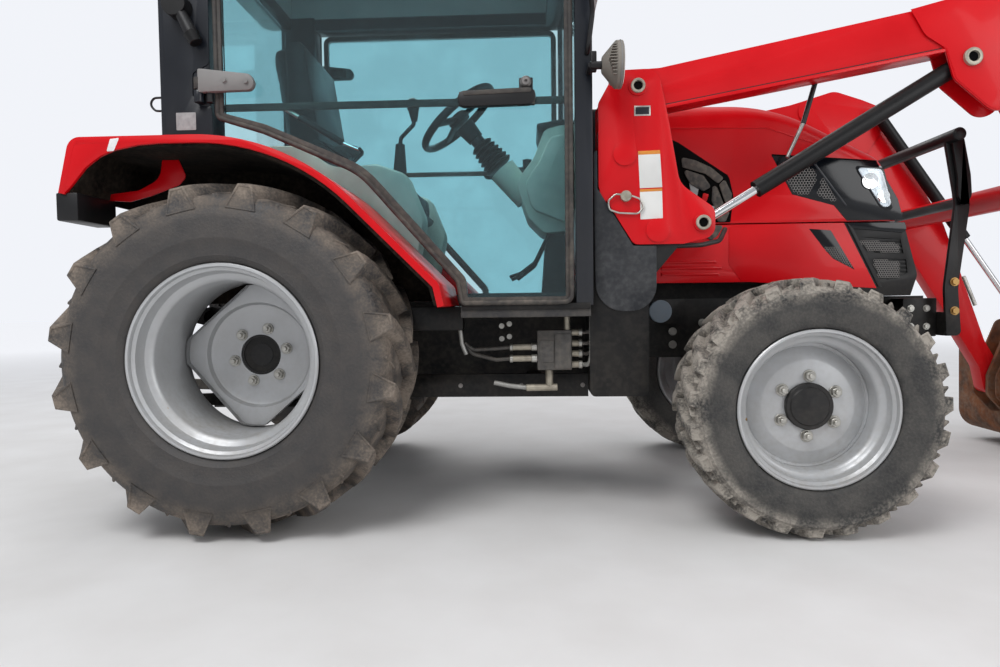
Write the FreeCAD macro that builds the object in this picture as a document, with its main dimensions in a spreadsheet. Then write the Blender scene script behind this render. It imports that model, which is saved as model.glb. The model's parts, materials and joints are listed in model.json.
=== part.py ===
"""Compact farm tractor with a cab and a front loader, in millimetres.

Sizes are measured from the rear axle (along X), the middle plane (along Y, left is positive)
and the ground (along Z).  The last step moves every sub-part by rear_axle_x, so that the
finished tractor stands centred on the origin.
"""
import FreeCAD, Part
import math
import os

import Sketcher

V = FreeCAD.Vector

# name, value, meaning
SIZES = (
    ("rear_axle_x", -1622.0, "rear axle from the middle of the whole length"),
    ("wheelbase", 1947.0, "rear axle to front axle"),
    ("fit_gap", 0.3, "gap between faces that seat on each other"),
    ("run_gap", 0.05, "running gap of a shaft in its bore"),
    ("move_gap", 6.0, "gap beside a piece that moves"),
    ("sheet_wall", 14.0, "wall of the hood, the cowl and the side panels"),
    # wheels
    ("rear_tyre_radius", 606.0, "out to the lugs' tips"),
    ("rear_tyre_width", 445.0, "over the sidewalls"),
    ("rear_track_half", 640.0, "middle plane of a rear wheel"),
    ("rear_rim_radius", 325.0, "rim flange"),
    ("rear_rim_width", 400.0, "flange to flange"),
    ("rear_hub_face", 512.0, "outer face of the wheel disc"),
    ("rear_stub_radius", 40.0, "axle end in the wheel's bore"),
    ("disc_flat", 214.0, "from the axle to the four flats of a rear wheel disc"),
    ("disc_turn", 49.0, "first flat of a rear wheel disc from the top, in degrees"),
    ("drive_radius", 185.0, "final drive housing behind a rear wheel"),
    ("drive_inner", 330.0, "inner face of the final drive housings"),
    ("rear_lugs", 16, "lugs on each side of a rear tyre"),
    ("rear_lug_depth", 43.0, "from the lugs' tips to the tyre's body"),
    ("rear_lug_turn", 9.6, "first lug of a rear tyre from the top, in degrees"),
    ("rear_facets", 24, "facets round a rear tyre"),
    ("front_lugs", 23, "lugs on each side of a front tyre"),
    ("front_lug_depth", 27.0, "from the lugs' tips to the tyre's body"),
    ("front_lug_turn", 9.1, "first lug of a front tyre from the top, in degrees"),
    ("front_facets", 20, "facets round a front tyre"),
    ("front_tyre_radius", 431.0, "out to the lugs' tips"),
    ("front_tyre_width", 290.0, "over the sidewalls"),
    ("front_track_half", 675.0, "middle plane of a front wheel"),
    ("front_rim_radius", 262.0, "rim flange"),
    ("front_rim_width", 250.0, "flange to flange"),
    ("front_hub_face", 708.0, "outer face of the wheel disc"),
    ("front_stub_radius", 30.0, "spindle in the wheel's bore"),
    ("hub_hole_radius", 76.0, "centre hole of the discs"),
    ("disc_wall", 10.0, "wheel disc"),
    ("hub_depth", 45.0, "hub behind the wheel disc"),
    ("hub_radius", 120.0, "hub flange behind the wheel disc"),
    ("rim_wall", 7.0, "wall of the rims"),
    # front axle and steering
    ("kingpin_y", 580.0, "swivel axis of the front wheels"),
    ("kingpin_radius", 18.0, ""),
    ("axle_tube_radius", 45.0, "front axle beam"),
    ("boss_half", 74.0, "half height of the swivel boss"),
    ("yoke_thick", 24.0, "swivel yoke arms"),
    ("tie_back", 130.0, "tie rod behind the front axle"),
    ("tie_radius", 12.0, ""),
    ("wheel_rim_radius", 190.0, "steering wheel"),
    ("steer_x", 708.0, "steering wheel centre"),
    ("steer_z", 1609.0, "steering wheel centre"),
    ("steer_tilt", 40.0, "steering wheel from level, in degrees"),
    ("steer_shaft", 12.0, "shaft of the steering wheel"),
    ("steer_ring", 14.0, "section of the steering wheel's rim"),
    # chassis
    ("trans_half", 170.0, "half width of the transmission housing"),
    ("trans_top", 800.0, "top of the transmission housing"),
    ("trans_front", 1250.0, "front face of the transmission housing"),
    ("frame_half", 220.0, "half width of the front frame"),
    ("engine_half", 180.0, "half width of the engine"),
    ("engine_length", 780.0, ""),
    ("engine_height", 460.0, ""),
    ("pto_radius", 17.4, "power take-off shaft"),
    ("pto_z", 520.0, ""),
    ("case_rear", -250.0, "rear face of the transmission housing"),
    ("case_low", 430.0, "underside of the transmission housing"),
    ("rock_radius", 28.0, "rock shaft of the lift arms"),
    ("link_pin", 14.0, "front pins of the lower links"),
    ("pivot_radius", 22.0, "centre pivot of the front axle"),
    ("pivot_up", 25.0, "centre pivot above the front axle"),
    ("engine_low", 600.0, "underside of the engine"),
    ("rail_wall", 30.0, "rails of the front frame"),
    ("filter_x", 1528.0, "oil filter beside the front frame"),
    ("filter_z", 750.0, "oil filter beside the front frame"),
    ("filter_radius", 44.0, ""),
    # cab
    ("cab_half", 648.0, "half width over the front posts"),
    ("cab_rear", -290.0, "rear face of the cab"),
    ("floor_z", 825.0, "top of the cab floor"),
    ("inner_half", 385.0, "half width between the fenders"),
    ("fender_half", 850.0, "outer edge of the fenders"),
    ("fender_top", 1345.0, "flat top of the fenders"),
    ("fender_wall", 22.0, "wall of the fenders"),
    ("roof_z", 2300.0, "underside of the roof"),
    ("roof_height", 180.0, ""),
    ("glass_wall", 6.0, ""),
    ("door_wall", 30.0, "depth of a door's frame"),
    ("door_band", 24.0, "width of a door's frame"),
    ("door_inset", 23.0, "inner face of a door inside cab_half"),
    ("hinge_x", -130.0, "door hinge axis"),
    ("door_rear", -78.0, "rear edge of the doors"),
    ("door_front", 1166.0, "front edge of the doors"),
    ("hinge_out", 24.0, "door hinge axis outside cab_half"),
    ("hinge_low", 1545.0, "lower edge of the lower hinges' door arms"),
    ("hinge_high", 2030.0, "lower edge of the upper hinges' door arms"),
    ("hinge_tall", 40.0, "height of a hinge arm"),
    ("hinge_eye", 16.0, "eyes of the door hinges"),
    ("hinge_pin", 8.0, "pins of the door hinges"),
    ("front_post_x", 1178.0, "rear face of the front posts"),
    ("post_width", 45.0, "front posts and the rim of the windscreen"),
    ("rear_post_width", 108.0, "rear posts"),
    ("roof_rim", 42.0, "roof beyond cab_half"),
    ("lamp_y", 722.0, "middle of the front work lamps"),
    ("lamp_z", 1573.0, "middle of the front work lamps"),
    ("lamp_radius", 76.0, "front work lamps"),
    ("roof_rear", -420.0, "rear edge of the roof"),
    ("roof_length", 1790.0, ""),
    ("roof_well", 88.0, "rim inside the roof, from cab_half"),
    ("well_rear", -225.0, "rear edge of the hollow under the roof"),
    ("well_length", 1340.0, "hollow under the roof"),
    ("rail_tall", 60.0, "rails under the roof"),
    ("screen_x", 1190.0, "windscreen"),
    ("screen_low", 1120.0, "lower edge of the windscreen"),
    ("belt_tall", 55.0, "rail under the rear window"),
    # hood
    ("hood_half", 345.0, "half width of the hood"),
    ("hood_rear", 1512.0, "rear edge of the hood"),
    ("hood_top", 1552.0, "rear top edge of the hood"),
    ("nose_x", 2075.0, "rear edge of the nose"),
    ("nose_low", 801.0, "underside of the nose"),
    ("side_low", 860.0, "lower edge of the side panels"),
    ("side_tall", 223.0, "side panels"),
    ("lamp_wide", 120.0, "headlamps across the nose"),
    ("front_half", 250.0, "half width of the front grille"),
    ("grille_deep", 6.0, "depth of the grilles in the sheet metal"),
    ("slat_deep", 3.0, "slats below the face of the sheet metal"),
    ("slat_height", 7.0, "slats of the grilles"),
    ("rib_out", 5.0, "ribs on the side panels"),
    ("hood_round", 55.0, "edge radius of the hood"),
    ("hood_barrel", 8.0, "radius of the hood hinges"),
    ("hood_pin", 4.0, "radius of the hood hinge pins"),
    # loader
    ("arm_y", 545.0, "middle plane of a loader arm"),
    ("arm_width", 76.0, "loader arm"),
    ("tilt_y", 455.0, "middle plane of a tilt cylinder"),
    ("tower_plate", 12.0, "tower plates"),
    ("tower_gap", 7.0, "gap from a tower plate to the arm"),
    ("boom_x", 1399.0, "boom pivot"),
    ("boom_z", 1538.0, "boom pivot"),
    ("boom_pin", 20.0, "boom pivot pin radius"),
    ("lift_low_x", 1624.0, "lift cylinder's lower pin"),
    ("lift_low_z", 1062.0, "lift cylinder's lower pin"),
    ("lift_top_x", 2537.0, "lift cylinder's upper pin"),
    ("lift_top_z", 1611.0, "lift cylinder's upper pin"),
    ("lift_barrel_radius", 31.0, ""),
    ("lift_barrel_length", 830.0, ""),
    ("lift_rod_radius", 16.5, ""),
    ("tilt_top_x", 2750.0, "tilt cylinder's upper pin"),
    ("tilt_top_z", 1712.0, "tilt cylinder's upper pin"),
    ("tilt_low_x", 3500.0, "tilt cylinder's lower pin"),
    ("tilt_low_z", 630.0, "tilt cylinder's lower pin"),
    ("tilt_barrel_radius", 27.0, ""),
    ("tilt_barrel_length", 760.0, ""),
    ("tilt_rod_radius", 14.0, ""),
    ("cylinder_pin", 18.0, "pin radius of the cylinders and the bucket"),
    ("cylinder_wall", 6.0, "wall of the barrels"),
    ("eye_radius", 36.0, "eyes of the cylinders"),
    ("cross_x", 2925.0, "cross tube of the boom"),
    ("cross_z", 1190.0, "cross tube of the boom"),
    ("cross_radius", 50.0, "cross tube of the boom"),
    ("bucket_x", 3375.0, "bucket pivot"),
    ("bucket_z", 350.0, "bucket pivot"),
    ("bucket_half", 915.0, "half width of the bucket"),
    ("bucket_wall", 9.0, ""),
    # three-point hitch
    ("rock_x", -300.0, "rock shaft of the lift arms"),
    ("rock_z", 745.0, "rock shaft of the lift arms"),
    ("link_x", -120.0, "front pins of the lower links"),
    ("link_z", 400.0, "front pins of the lower links"),
    ("link_length", 680.0, "lower links"),
    ("link_ball_bore", 11.2, "category 1 ball bore radius"),
)

# Lugs, from the shoulder inwards: how far the base lies in from the sidewall and down from the tips, the same
# for the top, half width of the base and of the top, and the lead round the tyre in degrees
REAR_LUG = ((2, 104, 16, 21, 52, 23, 0), (236, 60, 236, 0, 34, 22, 17.6))
FRONT_LUG = ((6, 45, 15, 12, 28, 21, 0), (151, 34, 151, 0, 24, 17, 11.0))

# Outlines in the X-Z plane: x, z and the radius of the corner there
FRAME_SIDE = ((1251, 800, 0), (2600, 800, 0), (2600, 640, 30), (2450, 620, 0), (2150, 620, 40),
              (1700, 560, 60), (1251, 560, 0))
FENDER = ((-522, 1166, 0), (-480, 1345, 45), (232, 1345, 740), (724, 853, 30), (740, 782, 0))
DOOR_EDGE = ((90, 1402, 200), (430, 1252, 260), (770, 868, 30), (776, 786, 14))
HOOD = ((1512, 1552, 0), (1960, 1545, 700), (2385, 1325, 110), (2440, 1088, 0), (1512, 1088, 0))
GRILLE = ((2075, 801, 0), (2480, 801, 0), (2505, 880, 40), (2450, 1082, 20), (2075, 1082, 0))
# Grilles: outline and the pitch of the slats
HOOD_WINDOWS = (
    (((1966, 1334, 0), (2094, 1193, 0), (2122, 1258, 0), (2098, 1300, 0)), 18),
    (((2114, 1187, 0), (2190, 1160, 0), (2238, 1100, 0), (2344, 1100, 0), (2250, 1292, 0), (2136, 1300, 0)), 18),
    (((1575, 1395, 0), (1680, 1330, 0), (1787, 1274, 0), (1801, 1200, 0), (1748, 1100, 0), (1575, 1100, 0)), 26),
)
NOSE_VENTS = (
    (((2100, 1055, 0), (2186, 1048, 0), (2262, 905, 0), (2160, 980, 0)), 16),
    (((2305, 1028, 0), (2440, 1016, 0), (2452, 962, 0), (2342, 966, 0)), 16),
    (((2352, 944, 0), (2462, 940, 0), (2468, 888, 0), (2392, 862, 0)), 16),
)
NOSE_FRONT = ((2600, 850, 0), (2487.5, 850, 0), (2497, 880, 0), (2453.4, 1040, 0), (2600, 1040, 0))
LAMP = ((2261, 1300, 0), (2520, 1300, 0), (2520, 1109, 0), (2421, 1109, 0), (2360, 1139, 0))
DASH = ((1000, 825, 0), (1177, 825, 0), (1177, 1530, 30), (1080, 1540, 40), (930, 1380, 50), (1030, 1200, 60))
CONSOLE = ((-180, 826, 0), (540, 826, 60), (600, 1130, 80), (520, 1345, 50), (-180, 1345, 40))
SEAT_BACK = ((70, 1290, 0), (190, 1300, 20), (90, 1890, 40), (0, 1890, 40), (20, 1400, 0))
TOWER = ((1262, 1484, 25), (1325, 1596, 55), (1470, 1600, 55), (1505, 1430, 60), (1545, 1200, 80),
         (1668, 1112, 45), (1668, 1015, 45), (1560, 990, 20), (1385, 990, 30), (1262, 1190, 40))
TOWER_POST = ((1230, 450, 20), (1440, 450, 20), (1440, 860, 40), (1545, 985, 0), (1545, 1025, 20),
              (1300, 1120, 40), (1230, 900, 60))
SKIRT = ((1244, 1055, 0), (1336, 1055, 0), (1378, 986, 0), (1464, 986, 0), (1464, 755, 90), (1250, 755, 100))
ARM = ((1340, 1480, 50), (1345, 1600, 50), (1480, 1607, 0), (2341, 1776, 200), (2560, 1838, 80),
       (2700, 1790, 90), (2830, 1640, 100), (3110, 1170, 300), (3322, 575, 100), (3412, 420, 60), (3420, 303, 45),
       (3330, 303, 45), (3300, 440, 80), (2900, 1085, 300), (2620, 1560, 60), (2610, 1668, 25),
       (2453, 1642, 0), (1488, 1474, 60))
KNEE = ((2341, 1774, 60), (2560, 1840, 80), (2700, 1792, 60), (2795, 1752, 40), (2800, 1640, 60),
        (2640, 1400, 60), (2480, 1540, 50), (2450, 1640, 0))
BUCKET_SHELL = ((3452, 552, 0), (3460, 72, 110), (4080, 1, 0))
BUCKET_SIDE = ((3452, 552, 20), (3460, 72, 110), (4080, 1, 0), (4072, 20, 0), (3800, 360, 150), (3560, 552, 60))
BUCKET_EAR = ((3328, 300, 45), (3328, 400, 45), (3440, 680, 40), (3545, 680, 40), (3545, 600, 30),
              (3470, 552.3, 0), (3452, 552.3, 0), (3459.4, 200, 0), (3420, 200, 30))
GUARD = ((2600, 645, 0), (2655, 645, 20), (2640, 830, 200), (2680, 1150, 200), (2625, 1400, 20),
         (2580, 1400, 20), (2625, 1150, 200), (2590, 830, 150))


def make_sheet(doc):
    """Spreadsheet with one row for each size; returns the values by name."""
    sheet = doc.addObject("Spreadsheet::Sheet", "Sizes")
    values = {}
    for row, (name, value, meaning) in enumerate(SIZES, start=1):
        sheet.set("A%d" % row, name)
        sheet.set("B%d" % row, str(value))
        sheet.set("C%d" % row, meaning)
        sheet.setAlias("B%d" % row, name)
        values[name] = value
    doc.recompute()
    return values


DOC = FreeCAD.newDocument("tractor")
SIZE = make_sheet(DOC)
ORIGIN_OFFSET = "Sizes.rear_axle_x"


def size(formula):
    """Value of a sum of sizes, such as 'frame_top + 2 * disc_wall'."""
    total = 0.0
    sign = 1.0
    for word in str(formula).split():
        if word in "+-":
            sign = -1.0 if word == "-" else 1.0
            continue
        product = sign
        for factor in word.split("*"):
            product *= SIZE[factor] if factor in SIZE else float(factor)
        total += product
    return total


def bound(formula):
    """The same sum as an expression on the sheet."""
    words = []
    for word in str(formula).split():
        if word in "+-":
            words.append(word)
        else:
            factors = ["Sizes." + factor if factor in SIZE else factor for factor in word.split("*")]
            words.append(" * ".join(factors))
    return " ".join(words)


def bind(thing, **formulas):
    """Bind properties to the sheet; x, y and z are the place of the object."""
    for name, formula in formulas.items():
        path = "Placement.Base." + name if name in ("x", "y", "z") else name
        thing.setExpression(path, bound(formula))
    return thing


def new(kind, name):
    return DOC.addObject(kind, name)


def box(x, y, z, length, width, height):
    """Block with its low corner at x, y, z."""
    return bind(new("Part::Box", "block"), x=x, y=y, z=z, Length=length, Width=width, Height=height)


TURNS = {
    "x": FreeCAD.Rotation(V(0, 1, 0), 90),
    "y": FreeCAD.Rotation(V(1, 0, 0), -90),
    "z": FreeCAD.Rotation(),
}


def rod(axis, x, y, z, radius, length):
    """Round bar from x, y, z along an axis."""
    bar = new("Part::Cylinder", "bar")
    bar.Placement = FreeCAD.Placement(V(0, 0, 0), TURNS[axis])
    return bind(bar, x=x, y=y, z=z, Radius=radius, Height=length)


def rounded(points):
    """Closed outline as lines and arcs; each point has u, v and a corner radius."""
    corners = []
    count = len(points)
    for index, (u, v, radius) in enumerate(points):
        here = V(u, v, 0)
        before = V(points[index - 1][0], points[index - 1][1], 0)
        after = V(points[(index + 1) % count][0], points[(index + 1) % count][1], 0)
        if radius == 0:
            corners.append((here, None, here))
            continue
        back = (before - here).normalize()
        ahead = (after - here).normalize()
        half = back.getAngle(ahead) / 2.0
        reach = radius / math.tan(half)
        inward = (back + ahead).normalize()
        middle = here + inward * (radius / math.sin(half) - radius)
        corners.append((here + back * reach, middle, here + ahead * reach))
    edges = []
    for index, (start, middle, end) in enumerate(corners):
        if middle is not None:
            edges.append(Part.Arc(start, middle, end))
        following = corners[(index + 1) % count][0]
        if end.distanceToPoint(following) > 0.001:
            edges.append(Part.LineSegment(end, following))
    return edges


def band(path, wall):
    """Outline of a sheet of one wall, to the right of an open path of u, v, radius."""
    offset = []
    last = len(path) - 1
    for index, (u, v, radius) in enumerate(path):
        here = V(u, v, 0)
        sides = []
        if index > 0:
            sides.append((here - V(path[index - 1][0], path[index - 1][1], 0)).normalize())
        if index < last:
            sides.append((V(path[index + 1][0], path[index + 1][1], 0) - here).normalize())
        normals = [V(side.y, -side.x, 0) for side in sides]
        if len(normals) == 1:
            moved = here + normals[0] * wall
            turn = 0.0
        else:
            bisector = (normals[0] + normals[1]).normalize()
            moved = here + bisector * (wall / bisector.dot(normals[0]))
            turn = sides[0].x * sides[1].y - sides[0].y * sides[1].x
        inner = radius if radius == 0 else (radius - wall if turn < 0 else radius + wall)
        offset.append((moved.x, moved.y, max(inner, 0)))
    return list(path) + offset[::-1]


def body_sketch(body, role, points):
    """Closed sketch on one of the body's own planes."""
    sketch = body.newObject("Sketcher::SketchObject", "outline")
    plane = [item for item in body.Origin.OriginFeatures if item.Role == role][0]
    sketch.AttachmentSupport = [(plane, "")]
    sketch.MapMode = "FlatFace"
    sketch.addGeometry(rounded(points), False)
    sketch.addConstraint([Sketcher.Constraint("Block", index) for index in range(sketch.GeometryCount)])
    return sketch


def plate(points, start, thickness, role="XZ_Plane"):
    """Plate from an X-Z outline, from y = start towards +Y (or from z = start up, on XY_Plane)."""
    body = new("PartDesign::Body", "plate")
    sketch = body_sketch(body, role, points)
    pad = body.newObject("PartDesign::Pad", "pad")
    pad.Profile = sketch
    pad.Reversed = role == "XZ_Plane"
    bind(pad, Length=thickness)
    if role == "XZ_Plane":
        return bind(body, y=start)
    return bind(body, z=start)


def turned(profiles, x="0", y="0", z="0", turn=None):
    """Turned body about its own Y axis; each profile is a closed list of r, y, corner radius."""
    body = new("PartDesign::Body", "turned")
    for points in profiles:
        sketch = body_sketch(body, "XY_Plane", points)
        revolved = body.newObject("PartDesign::Revolution", "revolved")
        revolved.Profile = sketch
        revolved.ReferenceAxis = (sketch, ["V_Axis"])
        revolved.Angle = 360
    if turn is not None:
        body.Placement = FreeCAD.Placement(V(0, 0, 0), turn)
    return bind(body, x=x, y=y, z=z)


def fuse(*parts):
    """One solid from pieces that touch or overlap."""
    joined = new("Part::MultiFuse", "joined")
    joined.Shapes = list(parts)
    joined.Refine = True
    return joined


def cut(base, *tools):
    """A solid less the tools."""
    tool = tools[0] if len(tools) == 1 else fuse(*tools)
    rest = new("Part::Cut", "rest")
    rest.Base = base
    rest.Tool = tool
    return rest


def shared(base, tool):
    """What two solids have in common."""
    both = new("Part::MultiCommon", "shared")
    both.Shapes = [base, tool]
    return both


def grilled(panel, windows, face):
    """The panel with grilles sunk into its left and right sides, and their slats; face is its outer Y."""
    recesses = []
    slats = []
    for outline, pitch in windows:
        recesses.append(plate(outline, face + " - grille_deep", "grille_deep + 5"))
        low = min(z for x, z, radius in outline)
        high = max(z for x, z, radius in outline)
        rows = int((high - low) / pitch)
        for row in range(1, rows):
            z = low + row * pitch
            ends = crossings(outline, z + SIZE["slat_height"] / 2.0)
            slats.append(box("%g - slat_deep" % ends[0], face + " - grille_deep - 1", "%g" % z,
                             "%g + 2*slat_deep" % (ends[1] - ends[0]), "grille_deep + 1 - slat_deep", "slat_height"))
    sunk = cut(panel, *recesses, *[mirrored(recess) for recess in recesses])
    return fuse(sunk, *slats, *[mirrored(slat) for slat in slats])


def crossings(outline, z):
    """Least and greatest x where an outline crosses a height."""
    found = []
    for index, (x2, z2, radius) in enumerate(outline):
        x1, z1 = outline[index - 1][:2]
        if min(z1, z2) <= z < max(z1, z2):
            found.append(x1 + (x2 - x1) * (z - z1) / (z2 - z1))
    return min(found), max(found)


def mirrored(source):
    """The same piece on the other side of the middle plane."""
    copy = new("Part::Mirroring", "mirrored")
    copy.Source = source
    copy.Base = V(0, 0, 0)
    copy.Normal = V(0, 1, 0)
    return copy


def softened(source, edges, radius):
    """The piece with chosen edges rounded."""
    DOC.recompute()
    soft = new("Part::Fillet", "softened")
    soft.Base = source
    soft.Edges = [(index, radius, radius) for index, edge in enumerate(source.Shape.Edges, start=1) if edges(edge)]
    return soft


NODES = []


def node(name, *parts):
    """A finished sub-part: its pieces in one named object, moved to the tractor's own origin."""
    whole = new("Part::Compound", name)
    whole.Links = list(parts)
    whole.Label = name
    whole.setExpression("Placement.Base.x", ORIGIN_OFFSET)
    NODES.append(whole)
    return whole


def pair(name, part):
    """A sub-part that is one piece on the right and the same on the left."""
    return node(name, part, mirrored(part))


def along_x(edge):
    """Long edges that run along X at the top of a hood-like shape."""
    return edge.BoundBox.YLength < 0.01 and edge.BoundBox.ZMin > 1095


def rim_profile(flange, low, high, wall):
    """Section of a rim: flange radius, inner and outer flange along Y, wall."""
    well = flange - 55.0
    seat = flange - 20.0
    path = ((flange, high, 0), (flange, high - 8, 0), (seat, high - 16, 0), (seat, high - 60, 0),
            (well, high - 85, 0), (well, low + 85, 0), (seat, low + 60, 0), (seat, low + 16, 0),
            (flange, low + 8, 0), (flange, low, 0))
    inner = ((flange - wall, low, 0), (seat - wall, low + 12, 0), (seat - wall, low + 62, 0),
             (well - wall, low + 87, 0), (well - wall, high - 87, 0), (seat - wall, high - 62, 0),
             (seat - wall, high - 12, 0), (flange - wall, high, 0))
    return path + inner


def wheel_rim(end, x, z):
    """Rim, disc and hub of a left wheel of the front or rear axle."""
    flange = SIZE[end + "_rim_radius"]
    middle = SIZE[end + "_track_half"]
    half = SIZE[end + "_rim_width"] / 2.0
    face = SIZE[end + "_hub_face"]
    wall = SIZE["disc_wall"]
    rim = rim_profile(flange, middle - half, middle + half, SIZE["rim_wall"])
    barrel_in = flange - 55.0 - SIZE["rim_wall"] / 2.0
    if face < middle - half + 85:
        barrel_in = flange - 35.0 - SIZE["rim_wall"] / 2.0
    rim = turned((rim,), x=x, z=z)
    disc_edge = barrel_in + 13 if end == "rear" else barrel_in
    disc = turned((((60, face - wall, 0), (disc_edge, face - wall, 0), (barrel_in, face, 0), (60, face, 0)),),
                  x=x, z=z)
    if end == "rear":
        disc = shared(disc, flat_sided(face - wall - 1, wall + 2, x, z))
    back = face - wall - SIZE["hub_depth"]
    bore = SIZE[end + "_stub_radius"] + SIZE["run_gap"]
    hub = ((bore, back, 0), (SIZE["hub_radius"] - 15, back, 0), (SIZE["hub_radius"], back + 15, 0),
           (SIZE["hub_radius"], face - wall + 1, 0), (SIZE["hub_hole_radius"] - 1, face - wall + 1, 0),
           (SIZE["hub_hole_radius"] - 1, face + 6, 0), (SIZE["hub_hole_radius"] - 14, face + 16, 0),
           (0, face + 16, 0), (0, back + SIZE["hub_depth"], 0), (bore, back + SIZE["hub_depth"], 0))
    return fuse(rim, disc, turned((hub,), x=x, z=z))


def flat_sided(start, thickness, x, z):
    """Square plate round a rear wheel's axis; its corners are those of the wheel disc."""
    reach = SIZE["disc_flat"] * math.sqrt(2.0)
    corners = []
    for quarter in range(4):
        angle = math.radians(SIZE["disc_turn"] + 45 + 90 * quarter)
        corners.append((reach * math.sin(angle), reach * math.cos(angle), 0))
    return bind(plate(corners, "%g" % start, "%g" % thickness), x=x, z=z)


def flat_faced(points, faces):
    """Solid with flat faces only, from corners and the corner numbers of each face."""
    made = []
    for face in faces:
        ring = [points[number] for number in face]
        made.append(Part.Face(Part.makePolygon(ring + ring[:1])))
    solid = Part.Solid(Part.Shell(made))
    if solid.Volume < 0:
        solid.reverse()
    piece = new("Part::Feature", "flat_faced")
    piece.Shape = solid
    return piece


def carcass(profile, sides):
    """Ring about the Y axis with flat facets; the profile has y and the radius of the facets' middles."""
    corner = 1.0 / math.cos(math.pi / sides)
    points = []
    faces = []
    count = len(profile)
    for step in range(sides):
        angle = math.tau * (step + 0.5) / sides
        for y, radius in profile:
            points.append(V(radius * corner * math.sin(angle), y, radius * corner * math.cos(angle)))
    for step in range(sides):
        first = step * count
        second = (step + 1) % sides * count
        for at in range(count):
            ahead = (at + 1) % count
            faces.append((first + at, second + at, second + ahead, first + ahead))
    return flat_faced(points, faces)


def lug(sections, middle, side, turn):
    """Bar of the tread: for each end y and the radius at its base and top, half widths and lead."""
    points = []
    for base_y, base_radius, top_y, top_radius, base_half, top_half, lead in sections:
        for y, radius, shift in ((base_y, base_radius, -base_half), (top_y, top_radius, -top_half),
                                 (top_y, top_radius, top_half), (base_y, base_radius, base_half)):
            angle = math.radians(turn + lead) + shift / radius
            points.append(V(radius * math.sin(angle), middle + side * y, radius * math.cos(angle)))
    points[4] = on_plane(points[4], points[0], points[1], points[5])
    points[7] = on_plane(points[7], points[3], points[2], points[6])
    faces = ((0, 1, 2, 3), (4, 7, 6, 5), (0, 4, 5, 1), (3, 2, 6, 7), (1, 5, 6), (1, 6, 2), (0, 3, 7), (0, 7, 4))
    return flat_faced(points, faces)


def on_plane(point, first, second, third):
    """The point turned about the Y axis until it lies in the plane of three others."""
    normal = (second - first).cross(third - first)
    radius = math.hypot(point.x, point.z)
    height = (normal.dot(first) - normal.y * point.y) / (math.hypot(normal.x, normal.z) * radius)
    middle = math.atan2(normal.x, normal.z)
    start = math.atan2(point.x, point.z)
    turns = [middle + sign * math.acos(height) for sign in (-1, 1)]
    angle = min(turns, key=lambda turn: abs(math.remainder(turn - start, math.tau)))
    return V(radius * math.sin(angle), point.y, radius * math.cos(angle))


def tyre(end, x, z):
    """Tyre of a left wheel of the front or rear axle, with its lugs."""
    radius = SIZE[end + "_tyre_radius"]
    middle = SIZE[end + "_track_half"]
    half = SIZE[end + "_tyre_width"] / 2.0
    bead = SIZE[end + "_rim_radius"] - 20.0 + SIZE["fit_gap"]
    seat = SIZE[end + "_rim_width"] / 2.0 - 16.0 - SIZE["fit_gap"]
    deep = SIZE[end + "_lug_depth"]
    count = int(SIZE[end + "_lugs"])
    outer = ((bead, seat), ((bead + radius) / 2.0, half), (radius - deep, 0.68 * half))
    profile = [(middle + y, r) for r, y in outer] + [(middle - y, r) for r, y in outer[::-1]]
    table = REAR_LUG if end == "rear" else FRONT_LUG
    sections = [(half - base_in, radius - base_low, half - top_in, radius - top_low, base_half, top_half, lead)
                for base_in, base_low, top_in, top_low, base_half, top_half, lead in table]
    pitch = 360.0 / count
    bars = []
    for step in range(count):
        bars.append(lug(sections, middle, 1, SIZE[end + "_lug_turn"] + step * pitch))
        bars.append(lug(sections, middle, -1, SIZE[end + "_lug_turn"] + (step + 0.5) * pitch))
    ring = carcass(profile, int(SIZE[end + "_facets"]))
    whole = fuse(ring, *bars)
    whole.Refine = False
    return bind(whole, x=x, z=z)


def make_wheels():
    """Rims and tyres, left and right."""
    for end, x in (("rear", "0"), ("front", "wheelbase")):
        rim = wheel_rim(end, x, end + "_tyre_radius")
        rubber = tyre(end, x, end + "_tyre_radius")
        node(end + "_rim_left", rim)
        node(end + "_rim_right", mirrored(rim))
        node(end + "_tyre_left", rubber)
        node(end + "_tyre_right", mirrored(rubber))


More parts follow.
